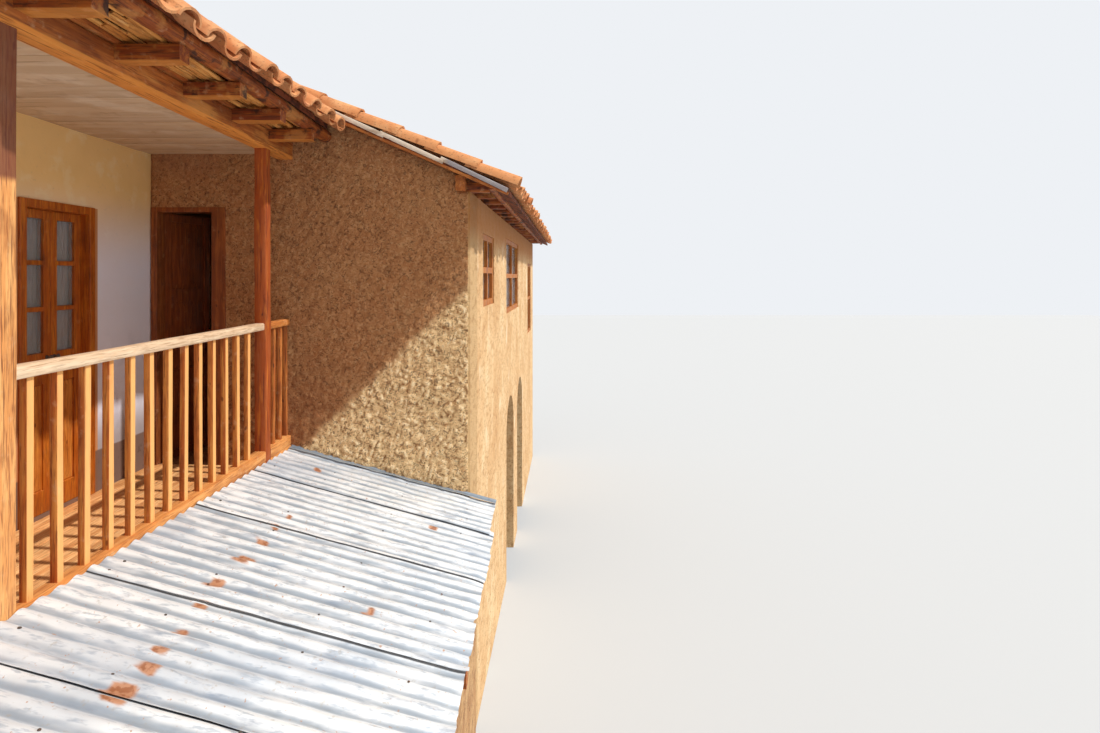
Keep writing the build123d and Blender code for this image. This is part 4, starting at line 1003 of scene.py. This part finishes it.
door = {"from": 1.427, "jamb": 0.054, "stile": 0.056, "leaf": 0.27, "panelFace": 0.157, "panelLow": 2.582,
        "panelHigh": 3.285, "back": 0.13}
leafStarts = [door["from"] + door["jamb"], door["from"] + door["jamb"] + door["leaf"] + 0.002]
margin = 0.01
fields = []
for y in leafStarts:
    corner = (door["panelFace"], y + door["stile"] + margin, door["panelLow"] + margin)
    wide = door["leaf"] - 2 * door["stile"] - 0.02
    high = door["panelHigh"] - door["panelLow"] - 0.02
    fields.append(raisedField(corner, (0, 1, 0), (1, 0, 0), wide, high, 0.009, 0.03))
addPiece("frenchDoorFields", joined(fields), "panelTimber", sharp=20)
endDoor = {"x": 0.283, "y": 2.84, "turn": math.radians(76), "wide": 0.5, "low": 2.432, "top": 4.53,
           "recess": 0.013, "stile": 0.062, "lock": 0.11}
leafWay = np.array([math.cos(endDoor["turn"]), math.sin(endDoor["turn"]), 0])
leafOut = np.array([math.sin(endDoor["turn"]), -math.cos(endDoor["turn"]), 0])
panelTall = (endDoor["top"] - endDoor["low"] - 2 * endDoor["stile"] - 2 * endDoor["lock"]) / 3
margin = 0.012
fields = []
for k in range(3):
    low = endDoor["low"] + endDoor["stile"] + k * (panelTall + endDoor["lock"])
    place = np.array([endDoor["x"], endDoor["y"], low]) + leafWay * (endDoor["stile"] + margin)
    place = place - leafOut * endDoor["recess"] + np.array([0, 0, margin])
    wide = endDoor["wide"] - 2 * endDoor["stile"] - 0.024
    fields.append(raisedField(place, leafWay, leafOut, wide, panelTall - 0.024, 0.01, 0.035))
addPiece("endDoorFields", joined(fields), "darkDoor", sharp=20)

# Curtains behind the panes: each hangs in folds from a thin rod on the back of its leaf
curtain = {"rod": 4.415, "drop": 0.995, "fold": 0.036, "deep": 0.009, "edge": 0.03}
rods, cloths = [], []
for k, y in enumerate(leafStarts):
    a, b = y + curtain["edge"], y + door["leaf"] - curtain["edge"]
    line = [(door["back"] - 0.0045, place, curtain["rod"]) for place in np.linspace(a - 0.01, b + 0.01, 7)]
    rods.append(pole(line, 0.004, 700 + k, 8, 0.0))
    across = np.linspace(0, 1, 90)
    down = np.linspace(0, 1, 26)[:, None]
    yy = a + (b - a) * across + 0.004 * wander(across * 0.3 + down * 0, down * 0.9, 710 + k, 4, 0.6)
    folds = np.sin(2 * np.pi * (yy - a) / curtain["fold"] + 1.2 * np.sin(6 * across + k))
    folds = folds * (0.35 + 0.65 * np.clip(down * 9, 0, 1))
    x = door["back"] - 0.0215 + curtain["deep"] * folds * (0.8 + 0.2 * wander(across, down, 720 + k, 4, 0.8))
    x = x + 0.0115 * np.exp(-((down) / 0.02) ** 2) * (1 - np.abs(folds))
    z = curtain["rod"] + 0.006 - curtain["drop"] * down + 0 * across
    points = np.stack([x, yy + 0 * x, z], -1)
    around = np.linalg.norm(np.diff(points, axis=1), axis=2).sum(1).mean()
    flat = points.reshape(-1, 3)
    shape = flat, gridFaces(26, 90), flat.copy(), np.zeros(len(flat))
    cloth = addPiece("curtain" + "AB"[k], shape, "curtain", closed=False, sharp=180)
    cloths.append((cloth, around))
addPiece("curtainRods", joined(rods), "oldIron")

# A small turned knob on each leaf of the glazed door
knobs = []
for y in (leafStarts[0] + door["leaf"] - 0.03, leafStarts[1] + 0.03):
    places = np.stack([np.linspace(0.169, 0.209, 9), np.full(9, y), np.full(9, 3.46)], -1)
    knobs.append(pole(places, [0.013, 0.012, 0.006, 0.006, 0.007, 0.013, 0.016, 0.013, 0.004], 730, 12, 0.0))
addPiece("frenchDoorKnobs", joined(knobs), "oldIron")
print("doors, windows and curtains made")


# The pieces whose own meshes stay, by finish
stays = {
    "tanPlaster": ["back_wall", "south_gable_wall", "north_gable_wall", "side_wall_lower", "side_wall_upper"],
    "strawMud": ["end_wall"], "limeWash": ["gallery_wall"], "bareEarth": ["lean_to_walls"],
    "mudBed": ["near_room_floor", "wide_room_floor", "near_roof_bed", "wide_roof_bed"],
    "oldTimberY": ["gallery_floor_beams", "gallery_sole", "ridge_boards", "lean_to_purlins"],
    "oldTimberX": ["gallery_floor_joists", "near_rafters", "wide_rafters", "lean_to_rafters"],
    "paneGlass": ["french_door_glass", "side_window_glass"],
}
for finish, kept in stays.items():
    for name in kept:
        mesh = nodes[name].data
        mesh.materials.clear()
        mesh.materials.append(finishes[finish])


view = {"x": 3.415, "y": -2.34, "z": 4.0, "lens": 19.96, "shiftX": 0.01455, "shiftY": -0.0823}
camData = bpy.data.cameras.new("photoView")
camData.lens = view["lens"]
camData.sensor_width = 36
camData.shift_x = view["shiftX"]
camData.shift_y = view["shiftY"]
camera = bpy.data.objects.new("photoView", camData)
camera.location = (view["x"], view["y"], view["z"])
camera.rotation_euler = (math.radians(90), 0, 0)
bpy.context.scene.collection.objects.link(camera)
bpy.context.scene.camera = camera

light = {"sky": 0.75, "skyColour": "#fff0e0", "sun": 3.6, "sunColour": "#fffaf2", "sunWay": (-1.0, 0.11, -1.3),
         "sunSoft": 1.2}
world = bpy.data.worlds.new("studio")
bpy.context.scene.world = world
world.use_nodes = True
tree = world.node_tree
ground = tree.nodes["Background"]
ground.inputs["Color"].default_value = colourOf(light["skyColour"])
ground.inputs["Strength"].default_value = light["sky"]
seen = addNode(tree, "ShaderNodeBackground", {"Color": colourOf("#eef1f5"), "Strength": 1.0})
path = addNode(tree, "ShaderNodeLightPath")
either = path.outputs["Is Camera Ray"]
for ray in ("Is Transmission Ray", "Is Glossy Ray"):
    either = addNode(tree, "ShaderNodeMath", {0: either, 1: path.outputs[ray]}, operation="MAXIMUM").outputs[0]
both = addNode(tree, "ShaderNodeMixShader", {0: either, 1: ground.outputs[0], 2: seen.outputs[0]})
tree.links.new(both.outputs[0], tree.nodes["World Output"].inputs["Surface"])
sun = bpy.data.lights.new("key", "SUN")
sun.energy = light["sun"]
sun.color = colourOf(light["sunColour"])[:3]
sun.angle = math.radians(light["sunSoft"])
lamp = bpy.data.objects.new("key", sun)
lamp.rotation_euler = Vector(light["sunWay"]).to_track_quat("-Z", "Y").to_euler()
bpy.context.scene.collection.objects.link(lamp)

floorMesh = bpy.data.meshes.new("floor")
floorMesh.from_pydata([(-60, -60, -0.002), (60, -60, -0.002), (60, 60, -0.002), (-60, 60, -0.002)], [], [(0, 1, 2, 3)])
floor = bpy.data.objects.new("floor", floorMesh)
paleFloor = bpy.data.materials.new("paleFloor")
paleFloor.use_nodes = True
paleShader = paleFloor.node_tree.nodes["Principled BSDF"]
paleShader.inputs["Base Color"].default_value = colourOf("#bcc4cd")
paleShader.inputs["Roughness"].default_value = 0.9
floorMesh.materials.append(paleFloor)
bpy.context.scene.collection.objects.link(floor)
bpy.context.scene.view_settings.view_transform = "Standard"
